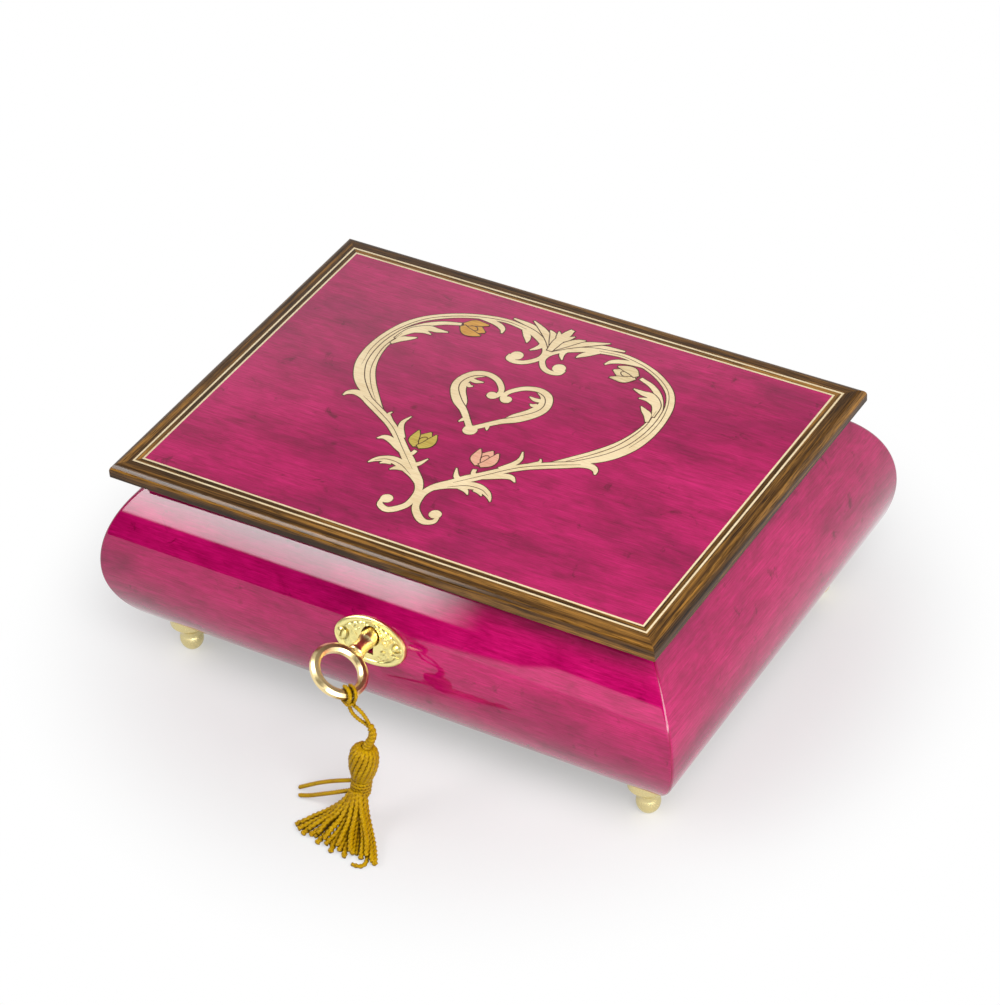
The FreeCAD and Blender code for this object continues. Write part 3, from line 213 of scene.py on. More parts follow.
def tint(material, factor):
    """Multiply a finish's colour by a factor from its own node tree."""
    base = material.node_tree.nodes["Principled BSDF"].inputs["Base Color"]
    plug(base, multiplied(base.links[0].from_socket, factor))


def pin_knots(tree, spread, size):
    """Soft dark specks round scattered centres, as a factor that is 1 on clear wood."""
    away = new_node(tree, "TexVoronoi", Vector=stretched(tree, 0, spread, spread), Scale=1.0)["Distance"]
    edge = size / 2 / spread
    return ramp(away, (edge * 0.3, (0.55, 0.3, 0.45)), (edge * 1.2, WHITE))


def figured_maple(name, along):
    """Raspberry-stained maple: mottled clouds, short flecks and fine grain along one axis, pin knots."""
    material = grained(
        name,
        ((along, 48, 24, 3, 0.6, 0.6),
         (0.30, (0.26, 0.0008, 0.060)), (0.5, (0.38, 0.0014, 0.085)), (0.72, (0.46, 0.0040, 0.108))),
        ((along, 11, 4.5, 4, 0.62, 0.6),
         (0.3, (0.76, 0.52, 0.72)), (0.5, WHITE), (0.72, (1.18, 1.6, 1.22))),
        ((along, 4.5, 0.4, 3, 0.65, 0.3),
         (0.3, (0.78, 0.56, 0.73)), (0.5, WHITE), (0.72, (1.18, 1.6, 1.24))),
        ((along, 22, 0.22, 2, 0.6), (0.3, (0.86, 0.7, 0.82)), (0.5, WHITE), (0.72, (1.12, 1.4, 1.16))),
        ((along, 6, 5, 4, 0.65, 0.7), (0.27, (0.50, 0.30, 0.44)), (0.37, WHITE)),
        **LACQUER
    )
    tint(material, pin_knots(material.node_tree, 15, 2.0))
    return material


maple_along = {"x": figured_maple("figured_maple_long", 0), "y": figured_maple("figured_maple_cross", 1)}
maple_edge = grained(
    "eased_maple_edge", ((2, 5, 1.2, 3), (0.35, (0.22, 0.001, 0.032)), (0.65, (0.33, 0.006, 0.06))),
    **LACQUER
)
SLOPE_STEPS, LOWER_STEPS, UPPER_STEPS, RIM_STEPS = 2, 18, 30, 3
UPPER_SWEEP = math.asin((NECK_Z - BELLY_Z) / SHOULDER_R)
rows = [FOOT_Z + (SLOPE_Z - FOOT_Z) * k / SLOPE_STEPS for k in range(SLOPE_STEPS)]
rows += [BELLY_Z - LOWER_R * math.sin(LOWER_SWEEP * (1 - k / LOWER_STEPS)) for k in range(LOWER_STEPS)]
rows += [BELLY_Z + SHOULDER_R * math.sin(UPPER_SWEEP * k / UPPER_STEPS) for k in range(UPPER_STEPS + 1)]
rows += [NECK_Z + (RIM_Z - NECK_Z) * k / RIM_STEPS for k in range(1, RIM_STEPS + 1)]
KEYHOLE_X = (-4.0, 2.0)
KEYHOLE_Z = (34.6, 43.4)
CORNER_STEPS = 6
EDGE_COLUMNS = 2


def veneer_sheet(side, long_half, out_half, place, along, breaks=()):
    """One sheet: rows up the profile, columns from one eased corner to the other."""
    def columns(z, proud):
        half = long_half - setback(z) + proud
        out = out_half - setback(z) + proud
        turns = [math.pi / 4 * (1 - (step / (CORNER_STEPS - 1)) ** 2) for step in range(CORNER_STEPS)]
        left = [
            (-half + CORNER_R - CORNER_R * math.sin(turn), out - CORNER_R + CORNER_R * math.cos(turn))
            for turn in turns
        ]
        right = [(-u, v) for u, v in reversed(left)]
        return left + [(u, out) for u in breaks] + right

    count = len(columns(FOOT_Z, 0))
    points, faces = [], []
    for proud in (SHEET_PROUD, SHEET_PROUD - SHEET_DEPTH):
        for z in rows:
            points += [place(u, v, z) for u, v in columns(z, proud)]
    layer = len(rows) * count

    def holed(row, column):
        if not breaks or not CORNER_STEPS <= column < count - CORNER_STEPS - 1:
            return False
        middle = (rows[row] + rows[row + 1]) / 2
        left, right = breaks[column - CORNER_STEPS], breaks[column - CORNER_STEPS + 1]
        return left >= KEYHOLE_X[0] and right <= KEYHOLE_X[1] and KEYHOLE_Z[0] < middle < KEYHOLE_Z[1]

    kept = {(r, c) for r in range(len(rows) - 1) for c in range(count - 1) if not holed(r, c)}
    corner_faces = []
    for r, c in sorted(kept):
        a, b = r * count + c, r * count + c + 1
        d, e = a + count, b + count
        if min(c, count - 2 - c) < EDGE_COLUMNS:
            corner_faces.append(len(faces))
        faces.append((a, b, e, d))
        faces.append((layer + a, layer + d, layer + e, layer + b))
        around = (((r - 1, c), (a, b)), ((r + 1, c), (e, d)), ((r, c - 1), (d, a)), ((r, c + 1), (b, e)))
        for beside, edge in around:
            if beside not in kept:
                faces.append((edge[0], edge[1], layer + edge[1], layer + edge[0]))
    sheet = piece("veneer_" + side, points, faces, "case", maple_along[along], "veneer", 50)
    sheet.data.materials.append(maple_edge)
    for index in corner_faces:
        sheet.data.polygons[index].material_index = 1


veneer_sheet("front", BELLY[0], BELLY[1], lambda u, v, z: (u, -v, z), "x", (-40.0, *KEYHOLE_X, 40.0))
veneer_sheet("rear", BELLY[0], BELLY[1], lambda u, v, z: (-u, v, z), "x")
veneer_sheet("left", BELLY[1], BELLY[0], lambda u, v, z: (-v, -u, z), "y")
veneer_sheet("right", BELLY[1], BELLY[0], lambda u, v, z: (v, u, z), "y")


# Base board, partition and cover battens: plain stained beech, sanded and sealed with a thin oil.
# The movement is screwed to the base from below.

plain_wood = grained(
    "plain_wood", ((0, 16, 1.1, 5, 0.6, 0.4), (0.3, (0.10, 0.035, 0.016)), (0.7, (0.20, 0.080, 0.035))),
    relief=(0.2, 0.0002), Roughness=0.5
)
dress(plain_wood, "base_board", "partition", "cover_battens")


# Feet: four brass turnings, a ball that flares up to a round flange, brushed and lacquered pale gold.
# Each is held by its own stud in the base.

HAZE_CELL = 0.4
HAZE_TONE = 0.92


def metal(name, colour, roughness, grain=0.02):
    """Finished metal with a little haze, so that no highlight is perfectly clean."""
    material, tree, shader = new_material(name)
    haze = noise(tree, 0, HAZE_CELL, HAZE_CELL, 3)
    spread = new_node(tree, "MapRange", Value=haze, To_Min=roughness - grain, To_Max=roughness + grain)
    base = ramp(haze, (0.3, [channel * HAZE_TONE for channel in colour]), (0.7, colour))
    set_sockets(shader, Base_Color=base, Roughness=spread["Result"], Metallic=1.0)
    return material


def arc(start, via, end, steps):
    """Points of a circular arc through three places in a plane, its start left out."""
    (ax, ay), (bx, by), (cx, cy) = start, via, end
    double = 2 * (ax * (by - cy) + bx * (cy - ay) + cx * (ay - by))
    squares = (ax * ax + ay * ay, bx * bx + by * by, cx * cx + cy * cy)
    mx = (squares[0] * (by - cy) + squares[1] * (cy - ay) + squares[2] * (ay - by)) / double
    my = (squares[0] * (cx - bx) + squares[1] * (ax - cx) + squares[2] * (bx - ax)) / double
    radius = math.hypot(ax - mx, ay - my)
    first, middle, last = (math.atan2(y - my, x - mx) for x, y in (start, via, end))
    turn = (last - first) % math.tau
    if (middle - first) % math.tau > turn:
        turn -= math.tau
    angles = [first + turn * step / steps for step in range(1, steps + 1)]
    return [(mx + radius * math.cos(angle), my + radius * math.sin(angle)) for angle in angles]


def skin(rows, loop=False, caps=(0, -1)):
    """Points and faces over rows of points: each row is a ring, and the rows are capped or a loop."""
    width = len(rows[0])
    faces = []
    for row in range(len(rows) if loop else len(rows) - 1):
        a, b = row * width, (row + 1) % len(rows) * width
        for k in range(width):
            after = (k + 1) % width
            faces.append((a + k, a + after, b + after, b + k))
    for row in caps:
        first = row % len(rows) * width
        faces.append(tuple(range(first, first + width)))
    return [point for row in rows for point in row], faces


def lathe(outline, sides):
    """A form turned about Z from (radius, height) points, flat at both ends."""
    turns = [math.tau * k / sides for k in range(sides)]
    return skin([[(r * math.cos(t), r * math.sin(t), z) for t in turns] for r, z in outline])


FOOT_INSET = 14.8
PAD_R, BALL_R, WAIST_R, FLANGE_R = 1.6, 3.1, 2.75, 5.2
WAIST_Z, FLANGE_Z = 4.8, 8.6
FLARE_VIA = (3.575, 7.1)
satin_brass = metal("satin_brass", (0.78, 0.67, 0.34), 0.26, 0.05)
foot_outline = [(PAD_R, 0)]
foot_outline += arc((PAD_R, 0), (BALL_R, WAIST_Z / 2), (WAIST_R, WAIST_Z), 14)
foot_outline += arc((WAIST_R, WAIST_Z), FLARE_VIA, (FLANGE_R, FLANGE_Z), 10)
foot_outline += [(FLANGE_R, FOOT_Z)]
foot_points, foot_faces = lathe(foot_outline, 48)
for row, y in (("front", -1), ("rear", 1)):
    for column, x in (("left", -1), ("right", 1)):
        center = Vector((x * (BELLY[0] - FOOT_INSET), y * (BELLY[1] - FOOT_INSET), 0))
        piece(
            f"turned_foot_{row}_{column}", [center + Vector(p) for p in foot_points], foot_faces,
            "case", satin_brass, "brass", 42, f"foot_{row}_{column}"
        )


# Lid: a board faced with the same stained maple, its grain along the length.
# A dark rosewood moulding is mitred round it, flat on top and rounded over at its edge.

SATIN = dict(Coat_Weight=0.5, Coat_Roughness=0.08)


def dark_rosewood(name, along):
    return grained(
        name,
        ((along, 90, 1.6, 4, 0.6, 0.5),
         (0.33, (0.026, 0.011, 0.002)), (0.5, (0.095, 0.042, 0.008)), (0.68, (0.32, 0.150, 0.027))),
        ((along, 6, 0.22, 2, 0.6), (0.36, (0.36, 0.34, 0.32)), (0.5, WHITE), (0.7, (1.4, 1.34, 1.2))),
        **(LACQUER | SATIN)
    )


dress(figured_maple("lid_maple", 0), "lid_panel")
dress(dark_rosewood("rosewood_long", 0), "lid_moulding_front", "lid_moulding_rear")
dress(dark_rosewood("rosewood_cross", 1), "lid_moulding_left", "lid_moulding_right")


# Stringing: two fine lines of pale holly along the moulding's inner edge.
# They are glued into grooves and scraped level before the lacquer goes on.

def pale_inlay_wood(name, light, dark):
    """Pale wood let in under the lacquer, with faint straight grain."""
    return grained(
        name, ((0, 3.8, 0.38, 3, 0.6, 0.4), (0.3, dark), (0.6, light)),
        ((0, 9, 9, 2), (0.3, (0.9, 0.87, 0.82)), (0.6, WHITE)), **LACQUER
    )


dress(pale_inlay_wood("holly", (0.82, 0.68, 0.44), (0.70, 0.55, 0.33)), "lid_stringing")


# Marquetry: a heart of leafy scrolls cut from pale sycamore, its edges darkened in hot sand.
# Each leaf is its own slip of wood, with fine engraved veins; the whole lies level under the lacquer.

LID_TOP = 65.0
SLIP_STEP = 0.0008
SLIP_PLACES = 31
SLIP_DEPTH = 0.05
SAND_EDGE = 0.28
HEART_MIDDLE = -3.8
HEART_BOW = 2.8
HEART_HALF_HEIGHT = 42.0
strokes = {}
slips = {}


def smooth_line(controls, count):
    """Points along a uniform cubic curve that passes through the control points."""
    padded = [controls[0] * 2 - controls[1]] + controls + [controls[-1] * 2 - controls[-2]]
    line = []
    for step in range(count):
        place = step / (count - 1) * (len(controls) - 1)
        index = min(int(place), len(controls) - 2)
        t = place - index
        a, b, c, d = padded[index:index + 4]
        bend = (2 * a - 5 * b + 4 * c - d) * t * t + (3 * b - a - 3 * c + d) * t * t * t
        line.append(0.5 * (2 * b + (c - a) * t + bend))
    return line


def joined(forms):
    """Points and faces of several forms as one."""
    points, faces = [], []
    for form_points, form_faces in forms:
        first = len(points)
        points += form_points
        faces += [tuple(first + k for k in face) for face in form_faces]
    return points, faces


def slip(left, right, top):
    """A thin plate between two edges."""
    low = LID_TOP - SLIP_DEPTH
    return skin([[(*a, top), (*b, top), (*b, low), (*a, low)] for a, b in zip(left, right)])


def stroke(wood, controls, widths, level, edge=SAND_EDGE):
    """A tapered leaf or scroll along a curve, over its burnt edge; strokes of one level run together."""
    count = 6 * len(controls)
    line = smooth_line([Vector(place) for place in controls], count)
    half = [max(w.x, 0.02) / 2 for w in smooth_line([Vector((w, 0)) for w in widths], count)]
    across = []
    for k in range(count):
        ahead = (line[min(k + 1, count - 1)] - line[max(k - 1, 0)]).normalized()
        across.append(Vector((-ahead.y, ahead.x)))
    for layer, kind, spread in ((0, "burnt_edge", edge), (1, wood, 0.0)):
        if layer == 0 and not edge:
            continue
        middle = list(line)
        middle[0] = line[0] + (line[0] - line[1]).normalized() * spread
        middle[-1] = line[-1] + (line[-1] - line[-2]).normalized() * spread
        left = [p + n * (h + spread) for p, n, h in zip(middle, across, half)]
        right = [p - n * (h + spread) for p, n, h in zip(middle, across, half)]
        strokes.setdefault((level, layer), []).append((kind, left, right))


def both_sides(controls, widths, level=1, middle=None, wood="sycamore", edge=SAND_EDGE):
    """The same stroke on the right half and mirrored on the left, across the heart's bowed middle."""
    mirrored = []
    for x, y in controls:
        bowed = HEART_MIDDLE + HEART_BOW * ((y - 2) / HEART_HALF_HEIGHT) ** 2
        mirrored.append((2 * (bowed if middle is None else middle) - x, y))
    for side in (controls, mirrored):
        stroke(wood, side, widths, level, edge)


def disc(x, y, radius):
    """The line and widths of a stroke that makes a round."""
    shares = (-1, -0.9, -0.6, 0, 0.6, 0.9, 1)
    widths = [2 * radius * math.sqrt(1 - share ** 2) for share in shares]
    return [(x + radius * share, y) for share in shares], widths


def eye(x, y, radius, middle=None):
    """The round end of a volute, on both sides."""
    both_sides(*disc(x, y, radius), 1, middle)


# inner strip of the lobe, running up and over to end as the bud's stalk
both_sides(
    [(12, -17.5), (17, -13), (21, -9.8), (25, -5.6), (29.4, -0.3), (32.7, 5), (34.5, 10.5), (35.2, 16),
     (34.8, 21.5), (32.2, 26.8), (28.5, 30.2), (24.2, 32)],
    [0.6, 1.4, 1.8, 2.4, 2.7, 2.8, 2.4, 2.0, 1.9, 1.7, 1.4, 1.0], 0
)
# outer strip of the lobe, from the volute in the cleft round to the lower side
both_sides(
    [(5, 26.2), (4.4, 24.5), (2.2, 23.9), (-0.2, 24.8), (-2.1, 27.4), (-2.2, 30), (-0.6, 32.6), (2.6, 35),
     (7, 37.1), (12, 38.2), (16, 38.5), (20.5, 37.7), (25.5, 35.9), (30, 33.2), (33.9, 29.5), (36.3, 24.8),
     (37.3, 19.5), (37.5, 14.5), (37, 9.5), (35.7, 4.8), (33, 0), (29.6, -3.6), (25.5, -6.6)],
    [1.0, 1.5, 1.5, 1.5, 1.5, 1.7, 1.8, 1.9, 1.9, 1.7, 1.6, 1.7, 1.8, 1.9, 2.0, 2.1, 2.2, 2.4, 2.6, 2.7,
     2.6, 2.0, 0.5]
)
eye(3.4, 26.4, 1.75)
# lower stem, from the volute at the foot up to a flick outside the lobe
both_sides(
    [(7.1, -40.4), (6.9, -42.3), (5, -43.3), (2.8, -42.3), (0.2, -39.5), (-0.8, -36), (-0.9, -33),
     (0.4, -30), (3.2, -27), (5.5, -24.2), (8.5, -21), (12, -17), (16, -13.4), (20, -10.8), (24.5, -8.2),
     (28, -6.2), (30.6, -5.8), (32.3, -6.7), (33, -8.2)],
    [0.8, 1.5, 1.9, 2.0, 1.8, 1.7, 1.9, 2.2, 2.6, 2.9, 2.6, 2.3, 2.3, 2.4, 2.4, 2.3, 2.0, 1.4, 0.4]
)
eye(5.9, -39.6, 1.6)

leaves = (
    # the leaf under the stem, with two lobes
    ([(-0.5, -32.4), (2.4, -28.8), (6, -26.6), (9.5, -25.6), (12.5, -26.5), (14.2, -27.8), (15.3, -29.2)],
     [0.3, 2, 2.8, 2.6, 2, 1.2, 0.3]),
    ([(5.5, -27.5), (7.5, -28), (9, -29.3)], [1.6, 1.4, 0.3]),
    ([(9.5, -26.8), (11, -27.2), (12.3, -28.2)], [1.4, 1.2, 0.3]),
    # sprays along the stem, and the lower bud's stalk
    ([(6, -23), (9.5, -21), (13, -19), (15.2, -18.6), (16.9, -19.8)], [1, 2, 2, 1.6, 0.3]),
    ([(3.8, -25), (2.6, -24), (1.2, -21.4)], [1.6, 1.3, 0.3]),
    ([(11, -17), (13, -13.5), (13.5, -11), (12.6, -8.3)], [1.8, 1.5, 1.1, 0.3]),
    ([(15.5, -13.8), (17.5, -11.5), (18.4, -10), (18, -8.8)], [1.8, 1.5, 0.9, 0.3]),
    ([(7.5, -22), (6, -21.4), (5.5, -19.8)], [1.4, 1.2, 1.0]),
    # leaves inside the lobe
    ([(26, 36.2), (21.5, 36.9), (17, 36.3), (14.2, 35), (13, 33.2)], [0.4, 1.5, 1.6, 1.4, 0.4]),
    ([(9.5, 37), (7.2, 35.4), (5.8, 33.9), (5, 32.5)], [0.6, 1.8, 1.4, 0.3]),
    ([(1.8, 34.6), (1, 33), (1.3, 31.5), (2.2, 30)], [1.2, 1.6, 1.2, 0.3]),
    ([(34.6, 19), (33.2, 23.5), (30.2, 26.4), (27.5, 26.7), (24.7, 27.3)], [0.6, 2.2, 2.2, 1.6, 0.3]),
    ([(32.6, 23.5), (30.2, 24.8), (27.7, 24.4)], [1, 1.4, 0.3]),
    ([(34.2, 16.6), (33, 19.2), (31.4, 20.4), (29.9, 21.6)], [0.8, 1.9, 1.4, 0.3]),
)
for controls, widths in leaves:
    both_sides(controls, widths)
# the palmette over the cleft, each pair of leaves laid over the one outside it
for level, controls, widths in (
    (0, [(-1, 33), (3.5, 37), (9, 39.4), (15, 40.4)], [0.8, 1.7, 1.6, 0.5]),
    (2, [(-2, 32.5), (1, 36), (5, 39), (10, 41.7)], [0.8, 1.8, 1.7, 0.3]),
    (3, [(-2.2, 32.5), (-0.2, 36), (1.8, 38.6), (3.7, 39.9)], [0.8, 1.9, 1.6, 0.3]),
):
    both_sides(controls, widths, level)
for controls, widths in (
    ([(-2.6, 32), (-2.6, 36), (-2, 40), (-1.5, 42.5)], [1.4, 2.4, 2.3, 1.2]),
    ([(-2.6, 36.5), (-3.4, 38.6), (-4.4, 40.4)], [0.8, 1.4, 0.3]),
    ([(-2.2, 36.5), (-0.8, 38.6), (0.4, 40.2)], [0.8, 1.4, 0.3]),
):
    stroke("sycamore", controls, widths, 4)

# the small heart, with its own middle
SMALL_MIDDLE = -4.1
for level, controls, widths in (
    (1, [(-3.5, 10.5), (-2.6, 12.5), (0, 15), (3.6, 16), (7, 14.6), (8.8, 11), (8.2, 7.2), (5, 3),
         (1.5, 0.2), (-1.5, -3), (-3.6, -5.4)],
     [1.4, 1.5, 1.6, 1.7, 1.8, 1.7, 1.9, 2.2, 1.8, 1.6, 1.6]),
    (0, [(3.6, 15.2), (6.2, 13.6), (7, 10.5), (5.8, 7), (3.2, 3.6), (1.8, 1.8)],
     [0.5, 1.6, 1.8, 1.8, 1.5, 0.3]),
    (0, [(6.5, 12.2), (4.6, 12), (2.7, 12.5)], [1.3, 1.3, 0.3]),
    (0, [(6.2, 10.2), (5.2, 9.6), (4.3, 9.9)], [1.2, 1.1, 0.3]),
    (1, [(-1.6, -2), (-0.8, -3), (0, -4.6)], [1, 1.3, 0.3]),
    (1, [(-3.5, 11), (-3.2, 9.2), (-2.2, 8.2), (-1, 8.6)], [1.5, 1.6, 1.8, 1.4]),
):
    both_sides(controls, widths, level, SMALL_MIDDLE)
eye(-1.9, 8.8, 1.3, SMALL_MIDDLE)
stroke("sycamore", *disc(-3.8, -6.4, 1.9), 1)

# engraved veins along the strips
for controls in (
    [(9, 37.6), (16, 38.3), (25, 35.9), (33, 30.2), (36.6, 22), (37.2, 13), (35.4, 5)],
    [(24, -6.8), (29, -0.8), (32.6, 5.4), (34.7, 14), (34.3, 21.5)],
    [(3.4, -26.8), (9, -20.6), (15, -14.2), (22, -9.6), (28, -6.3)],
    [(3, -29), (7, -26.4), (11, -26.1), (14, -27.7)],
):
    both_sides(controls, [0.04, 0.16, 0.16, 0.16, 0.04], 4, None, "burnt_edge", 0.0)

# four buds in stained pear: a round cup, two side petals and a middle one, with an engraved swirl
for wood, x, y, heading in (
    ("bud_peach", 5.5, -15, 90), ("bud_olive", -12.2, -15.4, 90),
    ("bud_cream", 19.8, 31.8, 180), ("bud_orange", -25.2, 31.7, 0),
):
    turn = Matrix.Rotation(math.radians(heading - 90), 2)
    for part_wood, controls, widths, level, edge in (
        (wood, [(0, -3.2), (0, -1.4), (0, 0.6), (0, 2)], [1.6, 4.4, 4.6, 2.6], 2, SAND_EDGE),
        (wood, [(0, -1), (0.1, 1.5), (0.3, 3.6)], [2.4, 3, 0.4], 2, SAND_EDGE),
        (wood, [(-0.4, -3), (-2.1, -1), (-2.5, 1), (-2.9, 3)], [1.2, 2.4, 1.8, 0.3], 3, SAND_EDGE),
        (wood, [(0.3, -3), (1.9, -1), (2.2, 1), (2.1, 3.2)], [1.4, 2.7, 2.2, 0.4], 4, SAND_EDGE),
        ("burnt_edge", [(-0.9, -1.2), (-0.8, 0.6), (0.3, 1.4), (1, 0.4)], [0.05, 0.26, 0.26, 0.05], 5, 0.0),
    ):
        stroke(part_wood, [Vector((x, y)) + turn @ Vector(c) for c in controls], widths, level, edge)

slip_height = LID_TOP
for step in sorted(strokes):
    for index, (wood, left, right) in enumerate(strokes[step]):
        top = slip_height + SLIP_STEP * (1 + index % SLIP_PLACES)
        slips.setdefault(wood, []).append(slip(left, right, top))
    slip_height += SLIP_STEP * (1 + min(len(strokes[step]), SLIP_PLACES))
slip_tones = {
    "sycamore": ((0.86, 0.70, 0.44), (0.76, 0.58, 0.33)),
    "burnt_edge": ((0.085, 0.028, 0.014), (0.05, 0.016, 0.009)),
    "bud_orange": ((0.66, 0.34, 0.050), (0.50, 0.22, 0.025)),
    "bud_cream": ((0.78, 0.62, 0.36), (0.60, 0.44, 0.22)),
    "bud_olive": ((0.56, 0.42, 0.085), (0.42, 0.29, 0.045)),
    "bud_peach": ((0.80, 0.42, 0.29), (0.66, 0.30, 0.19)),
}
for wood, forms in slips.items():
    slip_wood = pale_inlay_wood(wood, *slip_tones[wood])
    piece("inlay_" + wood, *joined(forms), "lid", slip_wood, "lid_veneer", 30)


# Lid pad, wall cards and floor: card covered in wine velvet, glued in with the nap upwards.
# The pad is lightly stuffed, so it crowns in the middle and rolls over at its edges.

wine_velvet = grained(
    "velvet", ((0, 17, 17, 3, 0.6, 0.8), (0.3, (0.12, 0.004, 0.030)), (0.7, (0.23, 0.010, 0.060))),
    relief=(0.5, 0.0003, 0, 0.45, 0.45, 4, 0.7), Roughness=0.9, Specular_IOR_Level=0.1,
    Sheen_Weight=0.8, Sheen_Roughness=0.4, Sheen_Tint=(0.9, 0.35, 0.5)
)
CUSHION_STEPS = (30, 24)
SQUARE_RIM = 0.25


def cushion(low, high, up, crown, edge):
    """A padded block: the face that looks up, 1 or -1, is crowned and rolled over at its edges."""
    base_z, top_z = (low.z, high.z) if up > 0 else (high.z, low.z)
    height = abs(top_z - base_z) - crown
    count_u, count_v = CUSHION_STEPS
    rows = []
    for v in range(count_v + 1):
        t = -math.cos(math.pi * v / count_v)
        y = (low.y + high.y) / 2 + (high.y - low.y) / 2 * t
        ring = [(low.x, y, base_z)]
        for u in range(count_u + 1):
            s = -math.cos(math.pi * u / count_u)
            x = (low.x + high.x) / 2 + (high.x - low.x) / 2 * s
            inset = min(x - low.x, high.x - x, y - low.y, high.y - y)
            roll = math.sqrt(max(0.0, 1 - (1 - min(inset / edge, 1)) ** 2))
            swell = (1 - s ** 4) * (1 - t ** 4)
            rise = height * (SQUARE_RIM + (1 - SQUARE_RIM) * roll) + crown * swell * roll
            ring.append((x, y, base_z + up * rise))
        rows.append(ring + [(high.x, y, base_z)])
    return skin(rows)


def node_box(name):
    """A CAD node's box, in millimetres."""
    low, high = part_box(name)
    return low / MM, high / MM


def covered(name, form, body, replaced):
    """A velvet piece that stands for a CAD node."""
    return piece(name, *form, body, wine_velvet, "velvet", 60, replaced)


lid_pad = covered("stuffed_lid_pad", cushion(*node_box("lid_pad"), -1, 0.7, 2.4), "lid", "lid_pad")
covered("velvet_floor", cushion(*node_box("floor_lining"), 1, 0.1, 1.0), "case", "floor_lining")

CARD = 1.0
EDGE_ROUND = 0.45
card_low, card_high = node_box("wall_lining")


def eased_block(low, high):
    """A block with its edges rolled over."""
    cube = bmesh.new()
    bmesh.ops.create_cube(cube, size=1.0)
    for corner in cube.verts:
        corner.co = Vector(low[k] if corner.co[k] < 0 else high[k] for k in range(3))
    bmesh.ops.bevel(cube, geom=cube.edges[:], offset=EDGE_ROUND, segments=3, affect="EDGES", profile=0.5)
    cube.verts.index_update()
    points = [corner.co.copy() for corner in cube.verts]
    faces = [tuple(corner.index for corner in face.verts) for face in cube.faces]
    cube.free()
    return points, faces


inner_x = card_high.x - CARD
cards = [
    eased_block(card_low, (inner_x, card_low.y + CARD, card_high.z)),
    eased_block((card_low.x, card_high.y - CARD, card_low.z), (inner_x, card_high.y, card_high.z)),
    eased_block((inner_x, card_low.y, card_low.z), card_high),
]
covered("velvet_wall_cards", joined(cards), "case", "wall_lining")


# Ring cushion: four velvet rolls packed side by side, so that a ring's band slips down between two.
# Each is velvet over firm wadding, drawn in at both ends and glued to the floor.

ROLL_COUNT = 4
ROLL_GAP = 0.5
ROLL_SPRING = 8.2
ROLL_ROUND = 4.8
ROLL_TUCK = 0.3
ROLL_ARC_STEPS = 14
ROLL_STATIONS = 25
END_HEIGHT, END_WIDTH = 0.65, 0.9
roll_low, roll_high = node_box("ring_rolls")
ROLL_WIDTH = (roll_high.x - roll_low.x + ROLL_GAP) / ROLL_COUNT - ROLL_GAP


def cushion_roll(left):
    """One roll: a round-topped section, drawn in a little towards both ends."""
    middle = ROLL_WIDTH / 2
    turns = [math.pi * step / ROLL_ARC_STEPS for step in range(ROLL_ARC_STEPS + 1)]
    section = [(ROLL_TUCK, 0.0)]
    section += [(middle - middle * math.cos(t), ROLL_SPRING + ROLL_ROUND * math.sin(t)) for t in turns]
    section += [(ROLL_WIDTH - ROLL_TUCK, 0.0)]
    rows = []
    for station in range(ROLL_STATIONS):
        share = -math.cos(math.pi * station / (ROLL_STATIONS - 1))
        y = (roll_low.y + roll_high.y) / 2 + (roll_high.y - roll_low.y) / 2 * share
        pinch = END_HEIGHT + (1 - END_HEIGHT) * max(0.0, 1 - abs(share) ** 8) ** 0.5
        narrow = END_WIDTH + (1 - END_WIDTH) * pinch
        around = [(left + middle + (x - middle) * narrow, roll_low.z + z * pinch) for x, z in section]
        rows.append([(x, y, z) for x, z in around])
    return skin(rows)


rolls = [cushion_roll(roll_low.x + index * (ROLL_WIDTH + ROLL_GAP)) for index in range(ROLL_COUNT)]
ring_cushion = covered("ring_cushion_rolls", joined(rolls), "case", "ring_rolls")


# Hinges, strike and lock: pressed and turned brass, bright from the buffing wheel.
# Leaves and strike are let in and screwed down, and the lock stands in the front wall's pocket.

dress(
    metal("bright_brass", (0.86, 0.66, 0.28), 0.2), "hinge_case_leaves", "hinge_lid_leaves", "hinge_pins",
    "hinge_case_screws", "hinge_lid_screws", "lock_strike", "strike_screws", "lock_hook", "lock_case"
)


# Movement: a brass cylinder, barrel and wheels, a steel comb and a cast bed painted gold.
# It sits under a sheet of clear acrylic, with the stop rod standing up through it.

def mottle(cell, dark, light):
    """A layer of even, fine mottle."""
    return (0, cell, cell, 3, 0.6), (0.3, dark), (0.7, light)


cast_gold = grained(
    "cast_gold_paint", mottle(1.1, (0.50, 0.40, 0.20), (0.62, 0.52, 0.28)), relief=(0.25, 0.0002),
    Metallic=0.6, Roughness=0.42
)
clear_acrylic = grained(
    "clear_acrylic", mottle(1.4, (0.96, 0.98, 0.98), WHITE), Roughness=0.02, IOR=1.49,
    Transmission_Weight=1.0
)
moulded_white = grained("moulded_white", mottle(0.7, (0.78, 0.77, 0.74), (0.86, 0.85, 0.82)), Roughness=0.4)
comb_steel = grained(
    "comb_steel", ((0, 16, 0.4, 3, 0.7), (0.3, (0.48, 0.48, 0.496)), (0.7, (0.60, 0.60, 0.62))),
    relief=(0.1, 0.0001), Metallic=1.0, Roughness=0.28
)
dress(metal("movement_brass", (0.84, 0.63, 0.26), 0.24), "spring_barrel", "barrel_cover",
      "pinned_cylinder", "cylinder_gear", "governor_wheel", "comb_bar", "stop_rod")
dress(comb_steel, "comb", "barrel_bridge", "winding_key")
dress(metal("bright_steel", (0.62, 0.62, 0.64), 0.2), "comb_screws", "mainspring", "winding_arbor",
      "cylinder_arbor", "fan_worm", "movement_screws")
dress(cast_gold, "bedplate", "governor_frame")
dress(moulded_white, "fan_blades")
